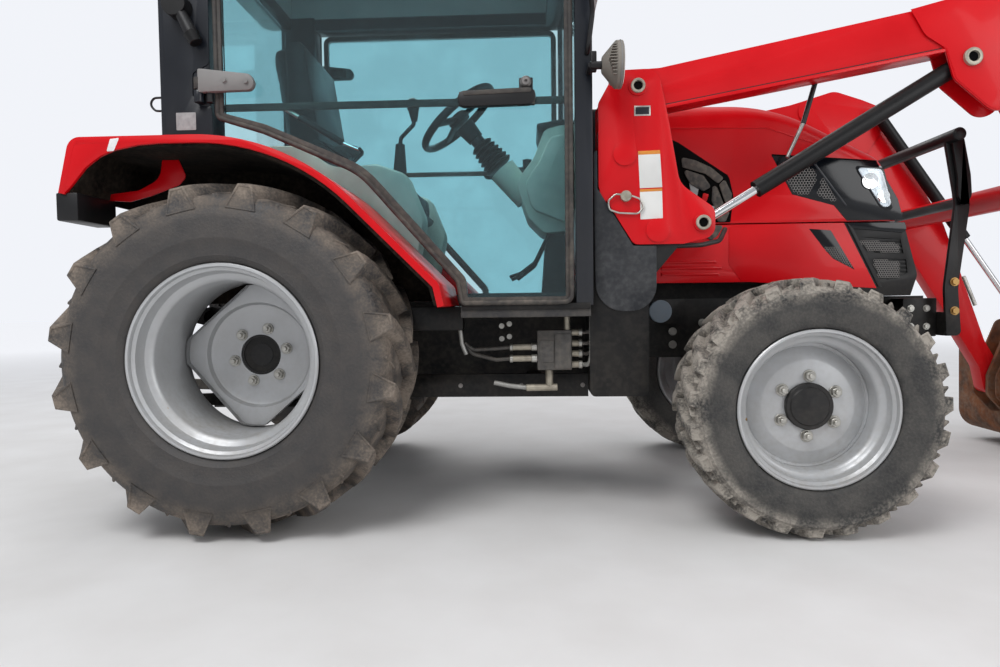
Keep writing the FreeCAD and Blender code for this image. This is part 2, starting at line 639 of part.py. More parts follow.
def make_chassis():
    """Engine, transmission with the rear axle, front frame and the hitch's fixed pieces."""
    node("engine_block", box("trans_front", "0 - engine_half", "engine_low", "engine_length",
                             "2*engine_half", "engine_height"))
    half = "trans_half"
    case = [box("case_rear", "0 - trans_half", "case_low", "trans_front - case_rear", "2*trans_half",
                "trans_top - case_low"),
            rod("y", "rock_x", "0 - trans_half - 92", "rock_z", "rock_radius", "2*trans_half + 184"),
            rod("x", "case_rear - 70", "0", "pto_z", "pto_radius", "70"),
            box("case_rear - 95", "0 - trans_half", "rock_z - 45", "100", "2*trans_half", "90"),
            rod("y", "link_x", "0 - trans_half - 42", "link_z", "link_pin", "2*trans_half + 84"),
            box("link_x - 35", "0 - trans_half", "link_z - 35", "70", "2*trans_half", "70")]
    flange = "rear_hub_face - disc_wall - hub_depth - move_gap"
    trumpet = turned((((0, size(half) - 10, 0), (120, size(half) - 10, 0), (95, size(half) + 60, 40),
                       (95, size(flange), 0), (0, size(flange), 0)),), z="rear_tyre_radius")
    stub = rod("y", "0", flange + " - 5", "rear_tyre_radius", "rear_stub_radius", "move_gap + 40")
    drive = rod("y", "0", "drive_inner", "rear_tyre_radius", "drive_radius",
                "rear_track_half - 0.5*rear_rim_width - move_gap - drive_inner")
    sides = (trumpet, stub, drive)
    node("transmission_housing", fuse(*case, *sides, *[mirrored(side) for side in sides]))
    node("drawbar", cut(box("-420", "-32", "link_z - 65 - fit_gap", "420", "64", "30"),
                        rod("z", "-385", "0", "300", "14", "100")))
    node("top_link", fuse(rod("z", "cab_rear - 26 - fit_gap", "0", "830", "14", "350"),
                          rod("y", "cab_rear - 26 - fit_gap", "-22", "1190", "26", "44"),
                          box("cab_rear - 52 - fit_gap", "-22", "790 + fit_gap", "50", "44", "60")))
    rails = cut(plate(FRAME_SIDE, "0 - frame_half", "2*frame_half"),
                box("trans_front - 100", "rail_wall - frame_half", "400", "1250", "2*frame_half - 2*rail_wall", "600"))
    hanger_low = "front_tyre_radius - 5"
    hangers = [box("wheelbase + %d" % x, "0 - frame_half", hanger_low, "30", "2*frame_half", height)
               for x, height in ((-130, "170"), (100, "220"))]
    pivot = rod("x", "wheelbase - 130", "0", "front_tyre_radius + pivot_up", "pivot_radius", "260")
    bracket = box("filter_x - 58", "-300", "filter_z - 50", "160", "301 - frame_half", "98")
    filter_can = rod("y", "filter_x", "-338", "filter_z", "filter_radius", "39")
    node("front_frame", fuse(rails, *hangers, pivot, bracket, filter_can))


def make_front_axle():
    """Beam on its centre pivot, swivels, tie rod and steering ram."""
    axle = "front_tyre_radius"
    beam = rod("y", "wheelbase", "0 - kingpin_y + 30", axle, "axle_tube_radius", "2*kingpin_y - 60")
    bosses = [rod("z", "wheelbase", y, axle + " - boss_half", "42", "2*boss_half")
              for y in ("kingpin_y", "0 - kingpin_y")]
    middle = box("wheelbase - 92", "-80", axle + " - 55", "184", "160", "115")
    ram_z = axle + " - boss_half + 4"
    ram = rod("y", "wheelbase - tie_back", "-200", ram_z, "28", "400")
    arms = [box("wheelbase - tie_back", y, ram_z + " - 14", "tie_back - 20", "24", "66") for y in ("150", "-174")]
    bores = [rod("z", "wheelbase", y, axle + " - 100", "kingpin_radius + run_gap", "200")
             for y in ("kingpin_y", "0 - kingpin_y")]
    bores.append(rod("x", "wheelbase - 100", "0", axle + " + pivot_up", "pivot_radius + fit_gap", "200"))
    bores.append(rod("y", "wheelbase - tie_back", "-230", ram_z, "tie_radius + run_gap", "460"))
    node("front_axle_beam", cut(fuse(beam, *bosses, middle, ram, *arms), *bores))
    yoke_in = "kingpin_y - 40"
    plate_in = "kingpin_y + 42 + move_gap"
    hub_back = "front_hub_face - disc_wall - hub_depth - move_gap"
    upper = box("wheelbase - 40", yoke_in, axle + " + boss_half + move_gap", "80", "42 + 40 + 16", "yoke_thick")
    lower = box("wheelbase - 40", yoke_in, axle + " - boss_half - move_gap - yoke_thick", "80", "42 + 40 + 16",
                "yoke_thick")
    flange = rod("y", "wheelbase", plate_in, axle, "104", hub_back + " - kingpin_y - 42 - move_gap")
    stub = rod("y", "wheelbase", hub_back + " - 5", axle, "front_stub_radius", "move_gap + 40")
    pin = rod("z", "wheelbase", "kingpin_y", axle + " - boss_half - move_gap - 5", "kingpin_radius",
              "2*boss_half + 2*move_gap + 10")
    arm = box("wheelbase - tie_back - 22", "kingpin_y - 44", axle + " - boss_half - move_gap - yoke_thick",
              "tie_back - 10", "44", "yoke_thick - 8")
    knuckle = fuse(upper, lower, flange, stub, pin, arm)
    node("knuckle_left", knuckle)
    node("knuckle_right", mirrored(knuckle))
    tie_eye = "kingpin_y - 22"
    tie = fuse(rod("y", "wheelbase - tie_back", "0 - kingpin_y + 22", ram_z, "tie_radius", "2*kingpin_y - 44"),
               *[rod("z", "wheelbase - tie_back", y, ram_z + " - 13", "20", "26")
                 for y in (tie_eye, "0 - kingpin_y + 22")])
    node("track_rod", tie)


def make_sheet_metal():
    """Hood, cowl, side panels and nose grille."""
    outer = softened(plate(HOOD, "0 - hood_half", "2*hood_half"), along_x, SIZE["hood_round"])
    wall = SIZE["sheet_wall"]
    inside = ((1400, 1552 - wall, 0), (1957, 1545 - wall, 690), (2373, 1318, 96), (2424, 1088, 0),
              (2424, 1000, 0), (1400, 1000, 0))
    core = softened(plate(inside, "0 - hood_half + sheet_wall", "2*hood_half - 2*sheet_wall"), along_x,
                    SIZE["hood_round"] - wall)
    lamp = shared(outer, plate(LAMP, "hood_half - lamp_wide", "200"))
    lamps = (lamp, mirrored(lamp))
    pocket = plate(inset(LAMP, -SIZE["fit_gap"]), "hood_half - lamp_wide - fit_gap", "200")
    axis_z = "hood_top + 1"
    barrel = rod("y", "hood_rear", "150", axis_z, "hood_barrel", "60")
    bore = rod("y", "hood_rear", "146", axis_z, "hood_pin + run_gap", "100")
    seat = box("hood_rear - 1", "211", "hood_top - 10", "12", "33", "20")
    panel = grilled(cut(outer, core), HOOD_WINDOWS, "hood_half")
    panel = fuse(cut(panel, pocket, mirrored(pocket)), barrel, mirrored(barrel))
    node("hood", cut(panel, bore, mirrored(bore), seat, mirrored(seat)))
    node("headlamps", *lamps)
    cowl_out = ((1201, 860, 0), (1201, 1552, 0), (1511.7, 1552, 0), (1511.7, 860, 0))
    saddle = cut(softened(plate(cowl_out, "0 - hood_half", "2*hood_half"), along_x, SIZE["hood_round"]),
                 softened(plate(((1150, 700, 0), (1150, 1538, 0), (1600, 1538, 0), (1600, 700, 0)),
                                "0 - hood_half + sheet_wall", "2*hood_half - 2*sheet_wall"), along_x,
                          SIZE["hood_round"] - wall))
    firewall = box("1180", "post_width + 3 - cab_half", "floor_z", "21", "2*cab_half - 2*post_width - 6", "294")
    slot = box("hood_rear - 11", "148", "hood_top - 10", "11", "64", "20")
    eye = rod("y", "hood_rear", "212", axis_z, "hood_barrel", "30")
    pin = rod("y", "hood_rear", "148", axis_z, "hood_pin", "94")
    saddle = cut(saddle, slot, mirrored(slot))
    node("cowl", fuse(saddle, firewall, eye, mirrored(eye), pin, mirrored(pin)))
    side = box("hood_rear", "hood_half - sheet_wall", "side_low", "nose_x - hood_rear", "sheet_wall", "side_tall")
    ribs = [box("hood_rear + 18", "hood_half - 1", "side_low + %d" % up, "%d" % length, "rib_out + 1", "10")
            for up, length in ((28, 222), (52, 232), (76, 210))]
    pair("side_panels", fuse(side, *ribs))
    nose = plate(GRILLE, "0 - hood_half", "2*hood_half")
    nose_inside = plate(((2000, 700, 0), (2466, 700, 0), (2490, 880, 30), (2438, 1068, 10), (2000, 1068, 0)),
                        "0 - hood_half + sheet_wall", "2*hood_half - 2*sheet_wall")
    floor = box("nose_x", "0 - hood_half", "nose_low", "2480 - nose_x", "2*hood_half", "sheet_wall")
    front = plate(NOSE_FRONT, "0 - front_half", "2*front_half")
    slats = []
    for z in (872, 893, 914, 935, 966, 987, 1008):
        x = 2505 - (z - 880) * 55 / 202.0
        slats.append(box("%.1f" % (x - 12), "0 - front_half - 2", "%d" % z, "8", "2*front_half + 4", "slat_height + 3"))
    shell = cut(fuse(cut(nose, nose_inside), floor), front)
    node("nose_grille", grilled(fuse(shell, *slats), NOSE_VENTS, "hood_half"))


def make_cab():
    """Floor, frame, fenders, roof, glass and doors."""
    front = size("front_post_x")
    wide = size("cab_half - post_width - 3")
    slim = size("inner_half - 1")
    floor_plan = ((-270, -slim, 0), (774, -slim, 0), (774, -wide, 0), (1229, -wide, 0), (1229, wide, 0),
                  (774, wide, 0), (774, slim, 0), (-270, slim, 0))
    floor = plate(floor_plan, "floor_z - 25", "25", role="XY_Plane")
    sill = box("774", "cab_half - 88", "740", "455", "85", "38")
    side_skirt = box("774", "cab_half - 88", "770", "455", "38", "40")
    node("cab_floor", fuse(floor, sill, side_skirt, mirrored(sill), mirrored(side_skirt)))

    post_plan = box("cab_rear + 10", "cab_half - rear_post_width", "fender_top", "180", "rear_post_width",
                    "roof_z - fender_top")
    front_post = box("front_post_x", "cab_half - post_width", "778", "60", "post_width", "roof_z - 778")
    rails = cut(box("cab_rear + 10", "0 - cab_half", "roof_z - rail_tall", "front_post_x - cab_rear + 50",
                    "2*cab_half", "rail_tall"),
                box("well_rear", "roof_well - cab_half", "roof_z - rail_tall - 20", "well_length",
                    "2*cab_half - 2*roof_well", "rail_tall + 40"))
    beltline = box("cab_rear + 10", "rear_post_width - 5 - cab_half", "fender_top", "40",
                   "2*cab_half - 2*rear_post_width + 10", "belt_tall")
    rear_panel = box("cab_rear", "0 - inner_half + 1", "floor_z", "20", "2*inner_half - 2", "fender_top - floor_z + 30")
    hinge_y = "cab_half + hinge_out"
    hinge_eyes = []
    for z in ("hinge_low - hinge_tall - 5", "hinge_high - hinge_tall - 5"):
        hinge_eyes.append(rod("z", "hinge_x", hinge_y, z, "hinge_eye", "hinge_tall"))
        hinge_eyes.append(rod("z", "hinge_x", hinge_y, z, "hinge_pin", "2*hinge_tall + 5"))
        hinge_eyes.append(box("hinge_x - 12", "cab_half - 10", z, "24", "hinge_out + 10", "hinge_tall"))
    side = fuse(post_plan, front_post, *hinge_eyes)
    node("cab_frame", fuse(side, mirrored(side), rails, beltline, rear_panel))

    arch = plate(band(FENDER, SIZE["fender_wall"]), "inner_half", "fender_half - inner_half")
    wall_outline = ((-288, 800, 0), (-288, 1344, 0), (232, 1344, 740), (723, 853, 30), (736, 800, 0))
    inner = plate(wall_outline, "inner_half", "15")
    fender = fuse(arch, inner)
    pair("fenders", fender)

    roof = box("roof_rear", "0 - cab_half - roof_rim", "roof_z", "roof_length", "2*cab_half + 2*roof_rim",
               "roof_height")
    roof = softened(roof, lambda edge: edge.BoundBox.ZMax > SIZE["roof_z"] + 1, 60)
    node("roof", cut(roof, box("well_rear", "roof_well - cab_half", "roof_z - 10", "well_length",
                           "2*cab_half - 2*roof_well", "roof_height - 30")))
    windscreen = box("screen_x", "post_width + fit_gap - cab_half", "screen_low", "glass_wall",
                     "2*cab_half - 2*post_width - 2*fit_gap", "roof_z - rail_tall - screen_low - fit_gap")
    rear_window = box("-262", "rear_post_width + fit_gap - cab_half", "fender_top + belt_tall + fit_gap", "glass_wall",
                      "2*cab_half - 2*rear_post_width - 2*fit_gap",
                      "roof_z - rail_tall - fender_top - belt_tall - 2*fit_gap")
    node("cab_glass", windscreen, rear_window)

    make_doors()


def make_doors():
    """Door frames with their hinge arms and handles, and their panes."""
    plane = "cab_half - door_inset"
    hinge_y = "cab_half + hinge_out"
    rear, front = SIZE["door_rear"], SIZE["door_front"]
    door = ((rear, 1450, 30), *DOOR_EDGE, (front, 786, 30), (front, 2234, 40), (rear, 2234, 40))
    frame = cut(plate(door, plane, "door_wall"),
                plate(inset(door, SIZE["door_band"]), plane + " - 10", "door_wall + 20"))
    pane = plate(inset(door, SIZE["door_band"] + SIZE["fit_gap"]), plane + " + 12", "glass_wall")
    arms = []
    for z in ("hinge_low", "hinge_high"):
        eye = cut(rod("z", "hinge_x", hinge_y, z, "hinge_eye", "hinge_tall"),
                  rod("z", "hinge_x", hinge_y, z + " - 5", "hinge_pin + run_gap", "hinge_tall + 10"))
        arm = box("hinge_x + 12", hinge_y + " - 10", z, "150", "20", "hinge_tall")
        foot = box("door_rear + 2", plane + " + door_wall - 5", z, "96", "22", "hinge_tall")
        arms.extend((eye, arm, foot))
    handle = box("780", plane + " + 12 + glass_wall + fit_gap", "1470", "260", "26", "45")
    bar = box("door_rear + 10", plane, "1478", "door_front - door_rear - 20", "12 - fit_gap", "24")
    door = fuse(frame, *arms, bar)
    node("door_frame_left", fuse(door, handle))
    node("door_frame_right", mirrored(fuse(door, handle)))
    node("door_glass_left", pane)
    node("door_glass_right", mirrored(pane))


def inset(points, wall):
    """Closed outline moved inward by one wall; the points run clockwise or counter-clockwise."""
    count = len(points)
    area = sum(points[i - 1][0] * points[i][1] - points[i][0] * points[i - 1][1] for i in range(count))
    side = 1.0 if area > 0 else -1.0
    moved = []
    for index, (u, v, radius) in enumerate(points):
        here = V(u, v, 0)
        before = V(points[index - 1][0], points[index - 1][1], 0)
        after = V(points[(index + 1) % count][0], points[(index + 1) % count][1], 0)
        come = (here - before).normalize()
        leave = (after - here).normalize()
        normals = [V(-d.y * side, d.x * side, 0) for d in (come, leave)]
        bisector = (normals[0] + normals[1]).normalize()
        place = here + bisector * (wall / bisector.dot(normals[0]))
        convex = (come.x * leave.y - come.y * leave.x) * side > 0
        inner = radius - wall if convex else radius + wall
        moved.append((place.x, place.y, max(inner, 0) if radius else 0))
    return moved


def make_interior():
    """Dash with the steering column, steering wheel, seat and consoles."""
    tilt = SIZE["steer_tilt"]
    down = V(math.sin(math.radians(tilt)), 0, -math.cos(math.radians(tilt)))
    turn = FreeCAD.Rotation(V(0, 0, 1), down)
    dash = plate(DASH, "-190", "380")
    column = new("Part::Cylinder", "column")
    column.Placement = FreeCAD.Placement(V(size("steer_x"), 0, size("steer_z")) + down * 45, turn)
    bind(column, Radius="30", Height="330")
    bore = new("Part::Cylinder", "bore")
    bore.Placement = FreeCAD.Placement(V(size("steer_x"), 0, size("steer_z")) + down * 40, turn)
    bind(bore, Radius="steer_shaft + run_gap", Height="100")
    boot = new("Part::Cone", "boot")
    boot.Placement = FreeCAD.Placement(V(size("steer_x"), 0, size("steer_z")) + down * 150, turn)
    bind(boot, Radius1="40", Radius2="62", Height="130")
    node("dash_column", cut(fuse(dash, column, boot), bore))

    at = FreeCAD.Placement(V(size("steer_x"), 0, size("steer_z")), turn)
    ring = new("Part::Torus", "ring")
    bind(ring, Radius1="wheel_rim_radius", Radius2="steer_ring")
    hub = new("Part::Cylinder", "hub")
    bind(hub, Radius="38", Height="46")
    hub.Placement = FreeCAD.Placement(V(0, 0, -8), FreeCAD.Rotation())
    shaft = new("Part::Cylinder", "shaft")
    bind(shaft, Radius="steer_shaft", Height="110")
    spokes = []
    for angle in (0, 120, 240):
        spoke = new("Part::Box", "spoke")
        bind(spoke, Length="wheel_rim_radius", Width="30", Height="10")
        about = FreeCAD.Rotation(V(0, 0, 1), angle)
        spoke.Placement = FreeCAD.Placement(about.multVec(V(0, -15, -5)), about)
        spokes.append(spoke)
    wheel = fuse(ring, hub, shaft, *spokes)
    wheel.Placement = at
    node("steering_wheel", wheel)

    base = box("150", "-170", "floor_z + fit_gap", "330", "340", "1160 - floor_z")
    cushion = softened(box("60", "-245", "1160", "500", "490", "140"), lambda edge: edge.BoundBox.ZMax > 1200, 35)
    back = plate(SEAT_BACK, "-225", "450")
    node("seat", fuse(base, cushion, back))

    console = plate(CONSOLE, "255", "inner_half - 255 - fit_gap")
    lever = fuse(console, rod("z", "470", "320", "1300", "9", "190"), rod("z", "470", "320", "1480", "20", "55"))
    node("side_consoles", mirrored(lever), console)


def make_loader_mount():
    """Towers, subframe and valve."""
    outer = "arm_y + 0.5*arm_width + tower_gap"
    inner = "arm_y - 0.5*arm_width - tower_gap - tower_plate"
    pins = [rod("y", "boom_x", inner + " - 10", "boom_z", "boom_pin", "arm_width + 2*tower_gap + 2*tower_plate + 20")]
    heads = []
    for x, z in (("boom_x", "boom_z"), ("lift_low_x", "lift_low_z")):
        heads.append(rod("y", x, outer + " + tower_plate - 1", z, "32", "11"))
        heads.append(rod("y", x, inner + " - 10", z, "32", "11"))
    for x, z in (("1354", "1306"), ("1468", "1038")):
        heads.append(rod("y", x, outer + " + tower_plate - 1", z, "41", "8"))
    web = box("1266", inner + " + 1", "1060", "22", "arm_width + 2*tower_gap + 2*tower_plate - 2", "340")
    tower = fuse(plate(TOWER, outer, "tower_plate"), plate(TOWER, inner, "tower_plate"), *pins, *heads, web)
    pair("loader_towers", tower)
    post = plate(TOWER_POST, "arm_y - 0.5*arm_width - tower_gap + fit_gap", "arm_width + 2*tower_gap - 2*fit_gap")
    post = cut(post, box("1200", "400", "1059", "95", "300", "200"))
    beam = box("1240", "frame_half + fit_gap", "455", "190", "arm_y - frame_half - 20", "150")
    saddle = box("1252", "frame_half + fit_gap", "600", "180", "40", "180")
    rail = box("drive_radius + 5", "trans_half + 170", "421", "1237 - drive_radius", "28", "90 - fit_gap")
    hangers = [box(x, "trans_half + fit_gap", "440", "60", "175", "60") for x in ("300", "1000")]
    skirt = plate(SKIRT, outer + " - 2", "10")
    side = fuse(post, beam, saddle, rail, skirt, *hangers)
    pair("loader_subframe", side)
    block = box("1040", "-540", "540", "130", "110", "150")
    foot = box("1165", "-530", "555", "65 - fit_gap", "90", "30")
    couplers = [rod("z", "%d" % x, "-510", "670", "15", "55") for x in (1060, 1085, 1110, 1135)]
    node("hydraulic_valve", fuse(block, foot, *couplers))


def cylinder(kind, x1, z1, x2, z2, middle):
    """Barrel from its upper pin and rod to its lower pin, on the left side; returns both."""
    reach = V(size(x2) - size(x1), 0, size(z2) - size(z1))
    length = reach.Length
    angle = math.degrees(math.atan2(-reach.z, reach.x))
    radius = SIZE[kind + "_barrel_radius"]
    rod_radius = SIZE[kind + "_rod_radius"]
    tube = SIZE[kind + "_barrel_length"]
    bore = radius - SIZE["cylinder_wall"]
    eye = SIZE["eye_radius"]
    turn = FreeCAD.Rotation(V(0, 1, 0), angle) * FreeCAD.Rotation(V(0, 0, 1), -90)
    gland = rod_radius + SIZE["run_gap"]
    shell_section = ((0, eye - 8, 0), (radius, eye - 8, 0), (radius, tube, 0), (gland, tube, 0), (gland, tube - 30, 0),
                     (bore, tube - 30, 0), (bore, eye + 12, 0), (0, eye + 12, 0))
    shell = turned((shell_section,), x1, middle, z1, turn)
    eye_width = "34"
    top = cut(rod("y", x1, middle + " - 17", z1, "eye_radius", eye_width),
              rod("y", x1, middle + " - 20", z1, "cylinder_pin + run_gap", "40"))
    shell = cut(shell, rod("y", x1, middle + " - 20", z1, "cylinder_pin + run_gap", "40"))
    head = 0.30 * length if kind == "tilt" else 0.10 * length
    shaft_section = ((0, head, 0), (bore - 0.3, head, 0), (bore - 0.3, head + 24, 0), (rod_radius, head + 24, 0),
                     (rod_radius, length - 20, 0), (0, length - 20, 0))
    shaft = turned((shaft_section,), x1, middle, z1, turn)
    low = rod("y", x2, middle + " - 17", z2, "eye_radius - 6", eye_width)
    return fuse(shell, top), fuse(shaft, low)


def make_loader():
    """Boom, cylinders and bucket."""
    inner = "arm_y - 0.5*arm_width"
    arm = plate(ARM, inner, "arm_width")
    knees = [plate(KNEE, inner + " - 8", "9"), plate(KNEE, "arm_y + 0.5*arm_width - 1", "9")]
    lift_pin = rod("y", "lift_top_x", inner + " - 14", "lift_top_z", "cylinder_pin", "arm_width + 28")
    tilt_pin = rod("y", "tilt_top_x", "tilt_y - 32", "tilt_top_z", "cylinder_pin", "arm_y - tilt_y + 32")
    tilt_collar = rod("y", "tilt_top_x", "tilt_y - 32", "tilt_top_z", "26", "9")
    tilt_boss = rod("y", "tilt_top_x", "tilt_y + 24", "tilt_top_z", "24", "25")
    bores = (rod("y", "boom_x", "400", "boom_z", "boom_pin + run_gap", "300"),
             rod("y", "bucket_x", "400", "bucket_z", "cylinder_pin + run_gap", "300"))
    side = cut(fuse(arm, *knees, lift_pin, tilt_pin, tilt_collar, tilt_boss), *bores)
    cross = rod("y", "cross_x", "0 - " + inner.replace(" -", " +") + " - 2", "cross_z", "cross_radius",
                "2*arm_y - arm_width + 4")
    node("boom", fuse(side, mirrored(side), cross))
    barrel, shaft = cylinder("lift", "lift_top_x", "lift_top_z", "lift_low_x", "lift_low_z", "arm_y")
    pair("lift_barrels", barrel)
    pair("lift_rods", shaft)
    barrel, shaft = cylinder("tilt", "tilt_top_x", "tilt_top_z", "tilt_low_x", "tilt_low_z", "tilt_y")
    pair("tilt_barrels", barrel)
    pair("tilt_rods", shaft)

    shell = plate(band(BUCKET_SHELL[::-1], SIZE["bucket_wall"]), "0 - bucket_half", "2*bucket_half")
    cheek = plate(BUCKET_SIDE, "bucket_half - bucket_wall", "bucket_wall")
    ears = [plate(BUCKET_EAR, y, thickness) for y, thickness in
            (("tilt_y - 35", "10"), ("tilt_y + 25", "20"), ("arm_y + 0.5*arm_width + 8", "12"))]
    pins = [rod("y", "bucket_x", "tilt_y + 26", "bucket_z", "cylinder_pin", "arm_y + 0.5*arm_width + 26 - tilt_y - 26"),
            rod("y", "tilt_low_x", "tilt_y - 43", "tilt_low_z", "26", "9")]
    side = fuse(cheek, *ears, *pins)
    node("bucket", fuse(shell, side, mirrored(side)))


def make_hitch():
    """Lift arms, lift rods and lower links of the three-point hitch."""
    arm_plan = ((size("rock_x"), size("rock_z") - 38, 0), (size("rock_x"), size("rock_z") + 38, 0),
                (-565, 826, 22), (-565, 776, 22))
    arm = plate(arm_plan, "270", "18")
    pivot = rod("y", "-540", "238", "800", "12", "34")
    bore = rod("y", "rock_x", "trans_half", "rock_z", "rock_radius + run_gap", "130")
    arm = cut(fuse(arm, pivot, rod("y", "rock_x", "trans_half + 6", "rock_z", "44", "102")), bore)
    pair("lift_arms", arm)
    eye = cut(rod("y", "-540", "242", "800", "24", "20"), rod("y", "-540", "230", "800", "12 + run_gap", "40"))
    strut = rod("z", "-540", "252", "430", "11", "350")
    turnbuckle = rod("z", "-540", "252", "560", "18", "120")
    low = rod("y", "-540", "242", "412", "24", "20")
    pair("hitch_rods", fuse(eye, strut, turnbuckle, low))
    reach = size("link_length")
    x = size("link_x")
    link_plan = ((x + 30, 190, 0), (x + 30, 206, 0), (x - 60, 210, 0), (x - reach + 30, 356, 0),
                 (x - reach - 30, 356, 0), (x - reach - 30, 336, 0), (x - reach + 30, 336, 0), (x - 60, 190, 0))
    link = plate(link_plan, "link_z - 25", "50", role="XY_Plane")
    bores = (rod("y", "link_x", "150", "link_z", "link_pin + run_gap", "100"),
             rod("y", "link_x - link_length", "300", "link_z", "link_ball_bore", "100"))
    ball = rod("y", "link_x - link_length", "330", "link_z", "36", "32")
    pair("lower_links", cut(fuse(link, ball), *bores))


def make_fittings():
    """Brush guard, lamps, mirrors and tank."""
    upright = plate(GUARD, "360", "14")
    cross = box("2600", "-372", "645", "14", "744", "90")
    top = rod("y", "2602", "-430", "1392", "24", "860")
    middle = rod("y", "2652", "-372", "1150", "19", "744")
    node("brush_guard", fuse(upright, mirrored(upright), cross, top, middle))

    shell = new("Part::Cone", "shell")
    shell.Placement = FreeCAD.Placement(V(0, 0, 0), TURNS["x"])
    bind(shell, x="1262", y="lamp_y", z="lamp_z", Radius1="26", Radius2="lamp_radius", Height="44")
    front_lamp = fuse(shell, rod("x", "1262 + 44 - 0.1", "lamp_y", "lamp_z", "lamp_radius", "22"),
                      rod("y", "1225", "cab_half + fit_gap", "lamp_z", "9", "lamp_y + 6 - cab_half"),
                      rod("x", "1225", "lamp_y", "lamp_z", "9", "45"))
    rear_lamp = rod("y", "-195", "cab_half + fit_gap", "1830", "42", "60")
    tail = box("-535", "640", "1083", "70", "200", "77.7")
    node("lamps", front_lamp, mirrored(front_lamp), rear_lamp, mirrored(rear_lamp), tail, mirrored(tail))
    arm = fuse(rod("y", "1220", "cab_half + fit_gap", "1645", "10", "92"), rod("z", "1220", "735", "1637", "10", "430"),
               rod("y", "1220", "cab_half + fit_gap", "2057", "10", "92"), box("1212", "700", "1800", "40", "150", "220"))
    pair("mirrors", arm)
    tank = softened(box("775", "374", "430", "395", "185.7", "trans_top - 430 - fit_gap"),
                    lambda edge: edge.BoundBox.ZMax < size("trans_top") - 1, 30)
    step = box("860", "540", "440", "220", "110", "25")
    node("fuel_tank", fuse(tank, step))


def check_objects():
    """Stop if any object failed or any sub-part has a bad shape."""
    for item in DOC.Objects:
        if any(word in item.State for word in ("Invalid", "Error")):
            raise RuntimeError("%s (%s) failed: %s" % (item.Name, item.Label, item.State))
    for item in NODES:
        if item.Shape.isNull() or not item.Shape.isValid():
            raise RuntimeError("%s has a bad shape" % item.Label)


def export_nodes():
    """Write each sub-part to its own file."""
    os.makedirs("parts", exist_ok=True)
    for item in NODES:
        item.Shape.exportStep("parts/%s.step" % item.Label)


make_wheels()
make_chassis()
make_front_axle()
make_sheet_metal()
make_cab()
make_interior()
make_loader_mount()
make_loader()
make_hitch()
make_fittings()
DOC.recompute()
check_objects()
export_nodes()
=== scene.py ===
"""Compact farm tractor with a cab and a front loader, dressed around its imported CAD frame."""
import json
import logging
import math
from collections.abc import Callable, Iterable, Sequence
from dataclasses import dataclass, field
from enum import Enum

import bmesh
import bpy
from mathutils import Matrix, Vector

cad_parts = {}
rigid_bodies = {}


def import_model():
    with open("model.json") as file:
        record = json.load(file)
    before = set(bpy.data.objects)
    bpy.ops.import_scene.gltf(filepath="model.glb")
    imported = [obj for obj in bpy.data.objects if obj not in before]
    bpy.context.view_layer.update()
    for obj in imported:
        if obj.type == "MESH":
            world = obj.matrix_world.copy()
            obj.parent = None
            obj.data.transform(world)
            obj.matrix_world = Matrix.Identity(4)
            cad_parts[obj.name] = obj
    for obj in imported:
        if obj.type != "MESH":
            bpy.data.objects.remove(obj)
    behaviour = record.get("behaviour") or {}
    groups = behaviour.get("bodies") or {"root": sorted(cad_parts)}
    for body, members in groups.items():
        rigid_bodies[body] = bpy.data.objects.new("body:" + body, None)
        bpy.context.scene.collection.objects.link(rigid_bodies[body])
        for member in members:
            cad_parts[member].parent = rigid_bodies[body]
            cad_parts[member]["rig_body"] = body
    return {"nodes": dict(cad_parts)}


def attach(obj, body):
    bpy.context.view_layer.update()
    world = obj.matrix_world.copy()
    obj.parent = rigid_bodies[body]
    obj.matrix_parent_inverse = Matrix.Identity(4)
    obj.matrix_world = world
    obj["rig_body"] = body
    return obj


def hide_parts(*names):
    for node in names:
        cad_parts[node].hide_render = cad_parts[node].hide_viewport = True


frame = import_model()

LOG = logging.getLogger("tractor")
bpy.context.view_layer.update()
REAR_AXLE_X = -1.622
FRONT_AXLE_X = 0.325

Point = tuple[float, float, float]
Flat = tuple[float, float]
Colour = tuple[float, float, float]


class Body(Enum):
    """The moving bodies that pieces ride on."""

    CHASSIS = "chassis"
    HOOD = "hood"
    BOOM = "boom"
    BUCKET = "bucket"
    DOOR_LEFT = "door_left"
    DOOR_RIGHT = "door_right"
    STEERING = "steering_wheel"


class Side(Enum):
    """The two sides of the tractor, with the sign of Y there."""

    LEFT = 1
    RIGHT = -1

    @property
    def word(self) -> str:
        """The side's name as the nodes spell it."""
        return self.name.lower()


def here(x: float, y: float, z: float) -> Point:
    """A place measured from the rear axle, in millimetres, as a point of the frame in metres.

    Args:
        x: Distance ahead of the rear axle.
        y: Distance to the tractor's left of the middle plane.
        z: Height above the ground.

    Returns:
        The point in metres.
    """
    return (x / 1000.0 + REAR_AXLE_X, y / 1000.0, z / 1000.0)


# Shaders


